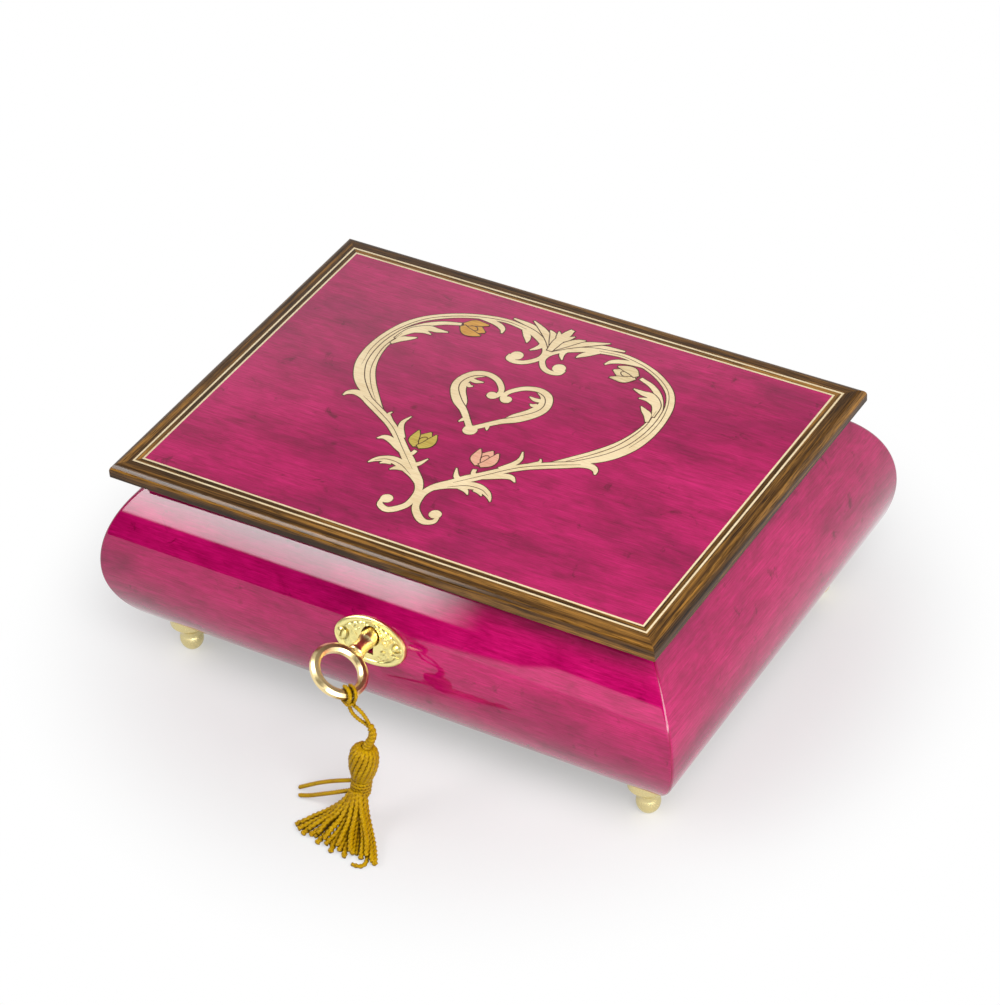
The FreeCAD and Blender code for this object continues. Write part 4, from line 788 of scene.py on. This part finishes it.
dress(clear_acrylic, "movement_cover")


# Escutcheon: an oval of thin brass, stamped in low relief with scrolls inside a broad plain border.
# It is bent to the curve of the front and held by two round-headed screws in ring recesses.

LOCK_X = -1.0
LOCK_Z = 40.0
PLATE_Z = 38.4
PLATE_HALF = (10.25, 6.25)
PLATE_THICK = 0.8
BORDER = 1.15
BORDER_RISE = 0.34
BORDER_SPREAD = 0.58
RECESS = 0.2
RIDGE_SPREAD = 0.12
FIELD_FADE, SCREW_FADE = 0.3, 0.4
SCROLL_RISE = 0.25
SCROLL_STEPS = 40
SCROLL_WIND = 0.85
HOLE_R = 2.5
HOLE_UP = 1.0
SLOT_HALF = 0.95
SLOT_DROP = 5.0
TINY = 1e-6
SCREW_R = 1.4
SCREW_SPREAD = 8.0
plate_lean = math.asin((PLATE_Z - BELLY_Z) / SHOULDER_R)
hole_up = SHOULDER_R * (math.asin((LOCK_Z - BELLY_Z) / SHOULDER_R) - plate_lean)
hole_center = (0.0, hole_up - HOLE_UP)


def on_plate(a, b, height):
    """A place on the bent plate, from its middle along and up, at a height over the wall."""
    turn = plate_lean + b / SHOULDER_R
    reach = SHOULDER_R + height
    y = -(BELLY[1] - SHOULDER_R) - reach * math.cos(turn)
    return LOCK_X + a, y, BELLY_Z + reach * math.sin(turn)


def keyhole_reach(turn):
    """From the keyhole's middle to its edge: a round with a slot below."""
    c, s = math.cos(turn), math.sin(turn)
    round_reach = s * HOLE_UP + math.sqrt(max(0.0, HOLE_R ** 2 - (c * HOLE_UP) ** 2))
    slot_reach = SLOT_HALF / max(abs(c), TINY)
    depth = HOLE_UP if s > 0 else SLOT_DROP - HOLE_UP
    return max(round_reach, min(slot_reach, depth / max(abs(s), TINY)))


def oval_reach(turn):
    """From the keyhole's middle to the plate's oval edge."""
    c, s = math.cos(turn), math.sin(turn)
    y = hole_center[1]
    qa = (c / PLATE_HALF[0]) ** 2 + (s / PLATE_HALF[1]) ** 2
    qb = 2 * y * s / PLATE_HALF[1] ** 2
    qc = (y / PLATE_HALF[1]) ** 2 - 1
    return (-qb + math.sqrt(qb * qb - 4 * qa * qc)) / (2 * qa)


def scroll(x, y, size, start, turns, way):
    """Points of a small scroll that winds in to an eye."""
    places = []
    for step in range(SCROLL_STEPS):
        share = step / (SCROLL_STEPS - 1)
        angle = math.radians(start) + way * turns * math.tau * share
        radius = size * (1 - SCROLL_WIND * share)
        places.append((x + radius * math.cos(angle), y + radius * math.sin(angle)))
    return places


ridges = []
for side in (-1, 1):
    for x, y, size, start, turns, way in (
        (4.4, 3.0, 1.2, 200, 1.2, 1), (6.2, 2.1, 0.8, 150, 1.1, -1), (4.3, -2.7, 1.2, 160, 1.2, -1),
        (6.2, -2.2, 0.8, 210, 1.1, 1), (4.6, 0.2, 0.8, 90, 1.1, 1), (2.0, 4.0, 0.7, 180, 1.0, -1),
        (2.6, -4.0, 0.8, 180, 1.0, 1),
    ):
        ridges += [(side * a, b) for a, b in scroll(x, y, size, start, turns, way)]
    for bow in (1, -1):
        ridges += [(side * (2.8 + 0.14 * k), bow * (4.2 - 0.012 * k * k)) for k in range(24)]
ridge_places = np.array(ridges)


def clamped(share):
    return min(1.0, max(0.0, share))


def plate_height(a, b):
    """Relief of the stamped plate: rounded border, soft scrolls and a ring recess at each screw."""
    inward = (1 - math.sqrt((a / PLATE_HALF[0]) ** 2 + (b / PLATE_HALF[1]) ** 2)) * PLATE_HALF[1]
    off_border = (inward - BORDER / 2) / (BORDER * BORDER_SPREAD)
    border = BORDER_RISE * math.sqrt(clamped(1 - off_border ** 2))
    away = np.min((ridge_places[:, 0] - a) ** 2 + (ridge_places[:, 1] - b) ** 2)
    screw_away = math.hypot(abs(a) - SCREW_SPREAD, b)
    recess = RECESS * math.exp(-((screw_away - SCREW_R - RECESS) / RECESS) ** 2)
    field = clamped((inward - BORDER) / FIELD_FADE)
    field *= clamped((screw_away - SCREW_R - FIELD_FADE) / SCREW_FADE)
    return PLATE_THICK + border + SCROLL_RISE * math.exp(-away / RIDGE_SPREAD) * field - recess


TURNS, RINGS = 288, 46
PLATE_BACK = 0.12
PLATE_LIP = 0.55
plate_rows = []
for k in range(TURNS):
    turn = math.tau * k / TURNS
    c, s = math.cos(turn), math.sin(turn)
    near, far = keyhole_reach(turn), oval_reach(turn)
    strip = []
    for ring in range(RINGS):
        reach = near + (far - near) * ring / (RINGS - 1)
        a, b = hole_center[0] + reach * c, hole_center[1] + reach * s
        height = plate_height(a, b)
        if ring == 0:
            height -= PLATE_BACK
        elif ring == RINGS - 1:
            height = PLATE_LIP
        strip.append(on_plate(a, b, height))
    for reach in (far, near):
        strip.append(on_plate(hole_center[0] + reach * c, hole_center[1] + reach * s, PLATE_BACK))
    plate_rows.append(strip)


def paint_shade_in_hollows(material, reach, *stops):
    """Paint shade into a finish's colour: darker where a place is closed in, judged within a reach in mm.
    """
    openness = new_node(material.node_tree, "AmbientOcclusion", Distance=reach * MM)["AO"]
    tint(material, ramp(openness, *stops))


# pale brass, with painted shade that darkens the hollows of the stamping
stamped_brass = metal("stamped_brass", (0.97, 0.86, 0.36), 0.3, 0.04)
paint_shade_in_hollows(stamped_brass, 0.6, (0.6, (0.36, 0.30, 0.14)), (0.96, WHITE))
plate_form = skin(plate_rows, loop=True, caps=())
piece("stamped_escutcheon", *plate_form, "case", stamped_brass, "brass", 55, "escutcheon")

# the two screws, each a low dome with a slot filed across it
DOME_RISE = 0.62
DOME_ROUND = SCREW_R * 1.08
HEAD_RIM = 0.05
HEAD_ROOT = -0.5
SLOT_CUT = 0.3
SLOT_WIDTH = 0.44
DOME_RINGS, DOME_SIDES = 14, 40
for name, side, slot_turn, replaced in (("left", -1, 75, "escutcheon_screws"), ("right", 1, 20, None)):
    head_rows = []
    for ring in range(DOME_RINGS + 1):
        radius = SCREW_R * min(ring / (DOME_RINGS - 1), 1.0)
        dome = DOME_RISE * math.sqrt(1 - (radius / DOME_ROUND) ** 2)
        head_rows.append([])
        for k in range(DOME_SIDES):
            turn = math.tau * k / DOME_SIDES
            across = abs(radius * math.sin(turn - math.radians(slot_turn)))
            cut = SLOT_CUT if across < SLOT_WIDTH / 2 else 0.0
            height = PLATE_THICK + max(HEAD_RIM, dome - cut) if ring < DOME_RINGS else HEAD_ROOT
            a, b = side * SCREW_SPREAD + radius * math.cos(turn), radius * math.sin(turn)
            head_rows[-1].append(on_plate(a, b, height))
    head = skin(head_rows, caps=(-1,))
    piece("dome_screw_" + name, *head, "case", stamped_brass, "brass", 35, replaced)


# Key: a ring bow, bevelled all round and brazed to a round shank, gold plated and polished.
# The barrel is drilled to fit the lock's pin, and its bit stands in the lock.

KEY_TURN = math.radians(57.0)
BOW_R = 6.4
BOW_HALF = 1.25
BOW_OUT = 14.2
BOW_STEPS = 112
FACET_HALF = BOW_HALF * 0.37
bow_center = Vector((LOCK_X, -(BELLY[1] + BOW_OUT), LOCK_Z))
inward = Vector((0, 1, 0))
bow_across = Vector((math.sin(KEY_TURN), 0, -math.cos(KEY_TURN)))
bow_axis = bow_across.cross(inward)
gold = metal("gold_plate", (0.95, 0.75, 0.38), 0.28, 0.015)
section = []
for corner in range(8):
    facing = math.pi / 4 * corner
    for lean in (-1, 1):
        aside = lean * FACET_HALF
        section.append((
            BOW_HALF * math.cos(facing) - aside * math.sin(facing),
            BOW_HALF * math.sin(facing) + aside * math.cos(facing),
        ))
bow_rows = []
for step in range(BOW_STEPS):
    turn = math.tau * step / BOW_STEPS
    outward = bow_across * math.cos(turn) + inward * math.sin(turn)
    bow_rows.append([bow_center + outward * (BOW_R + u) + bow_axis * v for u, v in section])

COLLAR_R, NECK_R, BARREL_R, DRILLED_R = 2.3, 1.95, 2.25, 1.6
BARREL_Z, BARREL_END, KEY_END = 5.6, 20.4, 23.2
COLLAR_Z, WAISTED_Z = 1.2, 4.0
BRAZE_DEPTH = 0.4
shank_start = bow_center.y + BOW_R + BRAZE_DEPTH
shank_outline = [(1.2, 0), (COLLAR_R - 0.2, 0.3), (COLLAR_R, 0.5), (COLLAR_R, COLLAR_Z)]
shank_outline += arc((COLLAR_R, COLLAR_Z), (NECK_R + 0.08, 2.6), (NECK_R, WAISTED_Z), 8)
shank_outline += arc((NECK_R, WAISTED_Z), (2.04, 4.9), (BARREL_R, BARREL_Z), 5)
shank_outline += [(BARREL_R, BARREL_END), (DRILLED_R, BARREL_END + 0.5), (DRILLED_R, KEY_END)]
shank_points, shank_faces = lathe(shank_outline, 56)
shank_points = [Vector((LOCK_X + x, shank_start + z, LOCK_Z + y)) for x, y, z in shank_points]
BIT_HALF, BIT_LONG, BIT_DROP = 0.6, 1.9, 4.4
bit_points, bit_faces = eased_block((-BIT_HALF, -BIT_LONG, -BIT_DROP), (BIT_HALF, 0.0, 0.0))
bit_turn = Matrix.Rotation(KEY_TURN, 3, -inward)
bit_place = Vector((LOCK_X, shank_start + KEY_END, LOCK_Z))
bit_points = [bit_place + bit_turn @ point for point in bit_points]
bow = skin(bow_rows, loop=True, caps=())
key_form = joined((bow, (shank_points, shank_faces), (bit_points, bit_faces)))
piece("ring_key", *key_form, "key", gold, "brass", 16, "key")


# Tassel: golden rayon cord. A doubled cord is hitched round the bow and whipped into a stem;
# below it the strands turn down over a core as a head, are bound at the neck and hang as a skirt.

golden_rayon = grained(
    "golden_rayon",
    ((0, 0.26, 0.26, 3, 0.7),
     (0.3, (0.26, 0.138, 0.0010)), (0.55, (0.43, 0.255, 0.0020)), (0.8, (0.60, 0.40, 0.005))),
    ((0, 3.2, 3.2, 2), (0.35, (0.85, 0.80, 0.7)), (0.65, WHITE)),
    relief=(0.3, 0.0002), Roughness=0.36, Specular_IOR_Level=0.13
)
# painted shade darkens the grooves between the strands, and a painted highlight lightens their crowns
paint_shade_in_hollows(golden_rayon, 1.4, (0.4, (0.28, 0.24, 0.2)), (0.95, (1.15, 1.15, 1.0)))
KNOT_TURN = math.radians(31.6)
knot_out = bow_across * math.cos(KNOT_TURN) - inward * math.sin(KNOT_TURN)
knot = bow_center + knot_out * BOW_R


def laid_line(controls, spacing):
    """Even points along the smooth line that a cord takes by its route's points."""
    route = bpy.data.curves.new("route", "CURVE")
    route.dimensions = "3D"
    spline = route.splines.new("NURBS")
    spline.points.add(len(controls) - 1)
    for point, place in zip(spline.points, controls):
        point.co = (*place, 1.0)
    spline.order_u = 3
    spline.use_endpoint_u = True
    carrier = bpy.data.objects.new("route", route)
    read = bpy.data.meshes.new_from_object(carrier)
    places = np.array([corner.co for corner in read.vertices])
    bpy.data.objects.remove(carrier)
    bpy.data.curves.remove(route)
    bpy.data.meshes.remove(read)
    steps = np.linalg.norm(np.diff(places, axis=0), axis=1)
    travelled = np.concatenate(([0.0], np.cumsum(steps)))
    even = np.linspace(0.0, travelled[-1], max(4, round(travelled[-1] / spacing)))
    return [Vector(place) for place in zip(*(np.interp(even, travelled, row) for row in places.T))]


CORD_SIDES = 12
STEPS_PER_LAY = 8
CUT_END = 0.7


def twisted_cord(controls, radius, pitch, plies=2, depth=0.34, start_turn=0.0, swell=0.0):
    """A laid cord along its route: a section of so many plies that turns once in every pitch."""
    line = laid_line(controls, pitch / STEPS_PER_LAY)
    last = len(line) - 1
    rows = []
    across = (line[1] - line[0]).orthogonal().normalized()
    travelled = 0.0
    for k, place in enumerate(line):
        if k:
            travelled += (place - line[k - 1]).length
        ahead = (line[min(k + 1, last)] - line[max(k - 1, 0)]).normalized()
        across = (across - ahead * across.dot(ahead)).normalized()
        beside = ahead.cross(across)
        size = radius * (1 + swell * k / last)
        if k in (0, last):
            size *= CUT_END
        lay = start_turn + math.tau * travelled / pitch
        rows.append([])
        for side in range(CORD_SIDES):
            turn = math.tau * side / CORD_SIDES
            reach = size * (1 - depth * (0.5 - 0.5 * math.cos(plies * (turn - lay))))
            rows[-1].append(place + (across * math.cos(turn) + beside * math.sin(turn)) * reach)
    return skin(rows)


def gather(name, body, strands, replaced):
    """Join strands into one piece of the tassel."""
    piece(name, *joined(strands), body, golden_rayon, "cord", 70, replaced)


def from_knot(*places):
    """Places counted from the knot on the bow."""
    return [knot + Vector(place) for place in places]


# the hitch on the bow: two turns round the wire and the bight that crosses them
wire_way = inward * math.cos(KNOT_TURN) + bow_across * math.sin(KNOT_TURN)
side_way = wire_way.cross(knot_out)
HITCH_R, HITCH_PITCH = 0.62, 1.7
WRAP_R = 2.0
WRAP_STEPS = 12
WRAP_START, WRAP_SWEEP = 250, 320
WRAP_DRIFT = 0.1
hitch = []
for offset in (-0.8, 0.8):
    loop = []
    for step in range(WRAP_STEPS + 1):
        turn = math.radians(WRAP_START - WRAP_SWEEP * step / WRAP_STEPS)
        round_wire = (knot_out * math.sin(turn) + side_way * math.cos(turn)) * WRAP_R
        drift = WRAP_DRIFT * (2 * step / WRAP_STEPS - 1)
        loop.append(knot + wire_way * (offset + drift) + round_wire)
    hitch.append(twisted_cord(loop, HITCH_R, HITCH_PITCH))
bight = [
    knot + wire_way * a + knot_out * (WRAP_R + 0.4 * (1 - abs(a) / 1.4)) + side_way * 0.9
    for a in (-1.4, -0.6, 0.0, 0.6, 1.4)
]
hitch.append(twisted_cord(bight, HITCH_R, HITCH_PITCH))
gather("cord_hitch", "key", hitch, "tassel_knot")

# the doubled cord, opening below the hitch and closing into the whipped stem
DOUBLE_R, DOUBLE_PITCH = 0.56, 1.6
STEM_R, STEM_PITCH = 1.0, 1.15
double = [
    twisted_cord(from_knot(
        (0.3 + 0.5 * way, -0.1, -2.7), (1.3 + 1.1 * way, -0.3, -4.1 + 0.9 * way),
        (3.2 + 0.9 * way, -0.4, -5.6 + 1.1 * way), (5.1 + 0.3 * way, -0.4, -7.0 + 0.4 * way),
        (6.0, -0.4, -8.4)
    ), DOUBLE_R, DOUBLE_PITCH) for way in (-1, 1)
]
stem = from_knot(
    (5.6, -0.4, -7.4), (6.6, -0.4, -9.0), (6.0, -0.4, -11.8), (4.9, -0.5, -13.6), (3.9, -0.65, -16.0)
)
double.append(twisted_cord(stem, STEM_R, STEM_PITCH, plies=1, swell=0.25))
gather("doubled_cord", "tassel", double, "tassel_cord")

# the head: strands brought down over a core from the stem to the neck
crown, head_end, neck_end = from_knot((3.8, -0.7, -15.4), (3.1, -1.7, -24.4), (2.4, -2.3, -29.6))
head_way = head_end - crown
head_u = head_way.orthogonal().normalized()
head_v = head_way.normalized().cross(head_u)
HEAD_STRANDS = 16
HEAD_SWIRL = 0.9
HEAD_R, HEAD_PITCH = 0.78, 2.2
CORE_R, CORE_PITCH = 2.4, 6.0
HEAD_PROFILE = (
    (0.0, 0.7), (0.0, 2.4), (0.25, 3.15), (0.55, 3.15), (0.85, 2.5), (1.0, 1.85), (1.06, 1.7)
)


def round_head(turn, radius):
    """A step out from the head's middle line."""
    return (head_u * math.cos(turn) + head_v * math.sin(turn)) * radius


head = []
for k in range(HEAD_STRANDS):
    path = []
    for share, radius in HEAD_PROFILE:
        swirl = math.tau * k / HEAD_STRANDS + HEAD_SWIRL * (share - 0.5)
        path.append(crown + head_way * share + round_head(swirl, radius))
    head.append(twisted_cord(path, HEAD_R, HEAD_PITCH, depth=0.25, start_turn=k * 1.3))
core = [crown + head_way * share for share in (0.08, 0.3, 0.6, 1.0)]
head.append(twisted_cord(core, CORE_R, CORE_PITCH, 1, 0.0))
gather("strand_head", "tassel", head, "tassel_head")

# the binding: tight turns at the neck, its two ends left long
BIND_TURNS = 5
BIND_STEPS = 12
BIND_R = 2.2
BIND_CORD_R, BIND_PITCH = 0.62, 1.5
NECK_CORE_R = 2.1
TIE_PITCH = 1.6
neck_way = neck_end - head_end
turns_path = []
for step in range(BIND_TURNS * BIND_STEPS + 1):
    along = 0.02 + 0.92 * step / (BIND_TURNS * BIND_STEPS)
    turns_path.append(head_end + neck_way * along + round_head(math.tau * step / BIND_STEPS, BIND_R))
neck_core = [head_end + neck_way * share for share in (-0.1, 0.3, 0.7, 1.05)]
tie_ends = (
    (0.6, ((0.9, -2.6, -25.6), (-4.0, -2.4, -28.0), (-9.0, -2.0, -31.0), (-13.0, -1.7, -33.8),
           (-16.4, -1.6, -36.2))),
    (0.62, ((0.6, -3.4, -28.4), (-3.6, -3.8, -30.6), (-8.5, -4.0, -33.2), (-12.0, -4.0, -35.2),
            (-15.0, -4.0, -36.3))),
)
binding = [
    twisted_cord(turns_path, BIND_CORD_R, BIND_PITCH),
    twisted_cord(neck_core, NECK_CORE_R, CORE_PITCH, 1, 0.0),
    *(twisted_cord(from_knot(*route), radius, TIE_PITCH) for radius, route in tie_ends),
]
gather("neck_binding", "tassel", binding, "tassel_binding")

# the skirt: three layers of strands that fan out over the table, one of them curling at its end
STRAND_R = 0.82
CURL_R = 0.62
STRAND_PITCH = 2.5
LAYER_LIFT = 1.3
tips = (
    (-6.4, -93.1, 0), (-4.8, -94.4, 1), (-3.1, -95.2, 0), (-1.0, -95.0, 1), (1.8, -96.3, 0),
    (0.2, -94.6, 0), (4.2, -96.0, 1), (6.5, -97.4, 0), (5.4, -95.4, 0), (8.4, -96.4, 1),
    (10.4, -97.4, 0), (9.4, -95.6, 0), (12.0, -95.8, 1), (12.6, -95.2, 0), (14.6, -96.3, 1),
    (17.2, -95.2, 0), (18.5, -96.1, 0), (17.7, -95.9, 1), (-5.2, -92.4, 1), (-2.2, -93.6, 2),
    (0.8, -94.0, 2), (3.2, -95.0, 2), (7.4, -95.6, 2), (11.2, -95.6, 2), (15.6, -95.2, 2),
)
FAN_HALF = 12.5
WOBBLE_STEP, LAY_STEP = 2.4, 0.9
TIP_LIFT = 0.35
skirt = []
for index, (x, y, layer) in enumerate(tips):
    wobble = math.sin(index * WOBBLE_STEP)
    fan = (x - neck_end.x) / FAN_HALF
    root = neck_end + Vector((1.7 * fan, -1.2 + 0.8 * abs(fan) - 0.7 * layer, 0.2 + 0.9 * layer))
    floor = STRAND_R + LAYER_LIFT * layer
    tip = Vector((x, y, STRAND_R + TIP_LIFT * layer))
    path = [root - neck_way * 0.12, root]
    for share, drop, sway in ((0.22, -1.2, -0.2), (0.5, -1.7, 0.5), (0.78, -0.8, 0.6)):
        place = root.lerp(tip, share) + Vector((sway * wobble - 0.6 * fan * (1 - share), 0.5, drop))
        place.z = max(place.z, floor)
        path.append(place)
    skirt.append(twisted_cord(path + [tip], STRAND_R, STRAND_PITCH, start_turn=index * LAY_STEP))
curl = [neck_end + Vector((1.2, -1.6, 0.6))]
curl += [Vector(place) for place in (
    (10.6, -87.4, 4.6), (13.6, -91.8, 2.4), (15.6, -94.8, 1.0), (16.4, -96.8, 0.7), (15.6, -98.5, 0.7),
    (13.2, -98.4, 0.7)
)]
skirt.append(twisted_cord(curl, CURL_R, STRAND_PITCH))
gather("strand_skirt", "tassel", skirt, "tassel_skirt")


# Table: a sweep of white paper that the box stands on.
# It brightens to plain white away from the box and keeps the soft shadow near it.

SWEEP = 12.0
SWEEP_FRONT = -0.47
SHADOW_NEAR, SHADOW_FAR = 0.08, 0.133
NEAR_WHITE = 0.4
table_mesh = bpy.data.meshes.new("table")
corners = [(-SWEEP, SWEEP_FRONT, 0), (SWEEP, SWEEP_FRONT, 0), (SWEEP, SWEEP, 0), (-SWEEP, SWEEP, 0)]
table_mesh.from_pydata(corners, [], [(0, 1, 2, 3)])
table = linked("table", table_mesh)
material, tree, shader = new_material("white_sweep")
set_sockets(shader, Base_Color=(0.66, 0.66, 0.66), Roughness=0.7, Specular_IOR_Level=0.1)


def reckon(tree, operation, first, second):
    """A sum on two values, each a socket or a plain number."""
    node = tree.nodes.new("ShaderNodeMath")
    node.operation = operation
    plug(node.inputs[0], first)
    plug(node.inputs[1], second)
    return node.outputs["Value"]


def fade(value, start, stop, low=0.0, high=1.0):
    """A smooth change from low to high as a value goes from start to stop."""
    node = value.id_data.nodes.new("ShaderNodeMapRange")
    node.interpolation_type = "SMOOTHSTEP"
    set_sockets(node, Value=value, From_Min=start, From_Max=stop, To_Min=low, To_Max=high)
    return node.outputs["Result"]


def light_path(tree):
    """The kinds of ray, and a value that is 1 for those that come by a mirror or through glass."""
    rays = new_node(tree, "LightPath")
    return rays, reckon(tree, "MAXIMUM", rays["Is Glossy Ray"], rays["Is Transmission Ray"])


distance = tree.nodes.new("ShaderNodeVectorMath")
distance.operation = "LENGTH"
plug(distance.inputs[0], new_node(tree, "NewGeometry")["Position"])
rays, mirrored = light_path(tree)
seen = reckon(tree, "MAXIMUM", rays["Is Camera Ray"], mirrored)
clearing = fade(distance.outputs["Value"], SHADOW_NEAR, SHADOW_FAR, NEAR_WHITE, 1.0)
whiteness = reckon(tree, "MULTIPLY", seen, clearing)
white = new_node(tree, "Emission", Color=WHITE, Strength=1.0)["Emission"]
blend = tree.nodes.new("ShaderNodeMixShader")
for index, value in enumerate((whiteness, shader.outputs["BSDF"], white)):
    plug(blend.inputs[index], value)
set_sockets(tree.nodes["Material Output"], Surface=blend.outputs["Shader"])
table_mesh.materials.append(material)


# Studio: a pale room that is dark on the camera's side. A tall softbox at the front left shows as the
# pale band along the front, white cards stand low in front and to the right, and a lamp is near the box.

ROOM_SHARE = 0.4
world = bpy.data.worlds.new("studio")
bpy.context.scene.world = world
world.use_nodes = True
tree = world.node_tree
to_right, to_rear, upward = new_node(tree, "SeparateXYZ", Vector=new_node(tree, "TexCoord")["Generated"])


def softbox(edges, low, high):
    """Light from a patch of the room, from low at the horizon to high overhead, inside smooth edges."""
    light = reckon(tree, "ADD", low, reckon(tree, "MULTIPLY", high - low, upward))
    for axis, start, stop in edges:
        light = reckon(tree, "MULTIPLY", light, fade(axis, start, stop))
    return light


front_room = fade(upward, 0.3, 0.95, 0.03, 0.4)
rear_room = fade(upward, 0.575, 0.61, 1.05, 0.45)
behind = fade(to_rear, -0.3, 0.3)
ahead = reckon(tree, "SUBTRACT", 1.0, behind)
room = reckon(
    tree, "ADD", reckon(tree, "MULTIPLY", ahead, front_room), reckon(tree, "MULTIPLY", behind, rear_room)
)
front_left = softbox(
    ((upward, 0.30, 0.345), (upward, 0.88, 0.76), (to_right, -0.411, -0.433), (to_right, -0.78, -0.62),
     (to_rear, 0.05, -0.05)), 1.5, 17.0
)
slant = reckon(tree, "SUBTRACT", reckon(tree, "MULTIPLY", to_right, 5.0), upward)
front_card = softbox(((slant, -2.1, -2.0), (upward, 0.25, 0.21), (to_rear, 0.05, -0.05)), 1.5, 1.5)
right_card = softbox(
    ((upward, 0.05, 0.15), (upward, 0.9, 0.8), (to_right, 0.45, 0.55), (to_rear, -0.15, -0.25)), 9.0, 9.0
)
rays, mirrored = light_path(tree)
light = room
for patch in (front_left, front_card, reckon(tree, "MULTIPLY", right_card, mirrored)):
    light = reckon(tree, "ADD", light, patch)
light = reckon(tree, "MULTIPLY", light, fade(mirrored, 0.0, 1.0, ROOM_SHARE, 1.0))
light = reckon(tree, "MAXIMUM", light, rays["Is Camera Ray"])
set_sockets(tree.nodes["Background"], Color=WHITE, Strength=light)

lamp_data = bpy.data.lights.new("near_lamp", "AREA")
lamp_data.energy = 4.75
lamp_data.size = 0.37
lamp = linked("near_lamp", lamp_data)
lamp.location = (0.37, -0.30, 0.50)
lamp.rotation_euler = (Vector((0, 0, 0.04)) - lamp.location).to_track_quat("-Z", "Y").to_euler()
lamp.visible_camera = False
lamp.visible_glossy = False
lamp.visible_transmission = False


# Camera: a long lens, looking down on the box from the front right.
# Its place and axes were fitted to the lid's corners, the case's outline and the feet.

camera_data = bpy.data.cameras.new("camera")
camera_data.sensor_fit = "HORIZONTAL"
camera_data.sensor_width = 36.0
camera_data.lens = 131.59
camera_data.clip_end = 60.0
camera = linked("camera", camera_data)
camera_axes = Matrix((
    (0.86421, -0.28139, 0.41708),
    (0.50122, 0.55352, -0.66513),
    (-0.04370, 0.78386, 0.61940),
))
camera.matrix_world = Matrix.Translation((0.390508, -0.622954, 0.618726)) @ camera_axes.to_4x4()
bpy.context.scene.camera = camera
bpy.context.scene.view_settings.view_transform = "Standard"

bpy.context.view_layer.update()
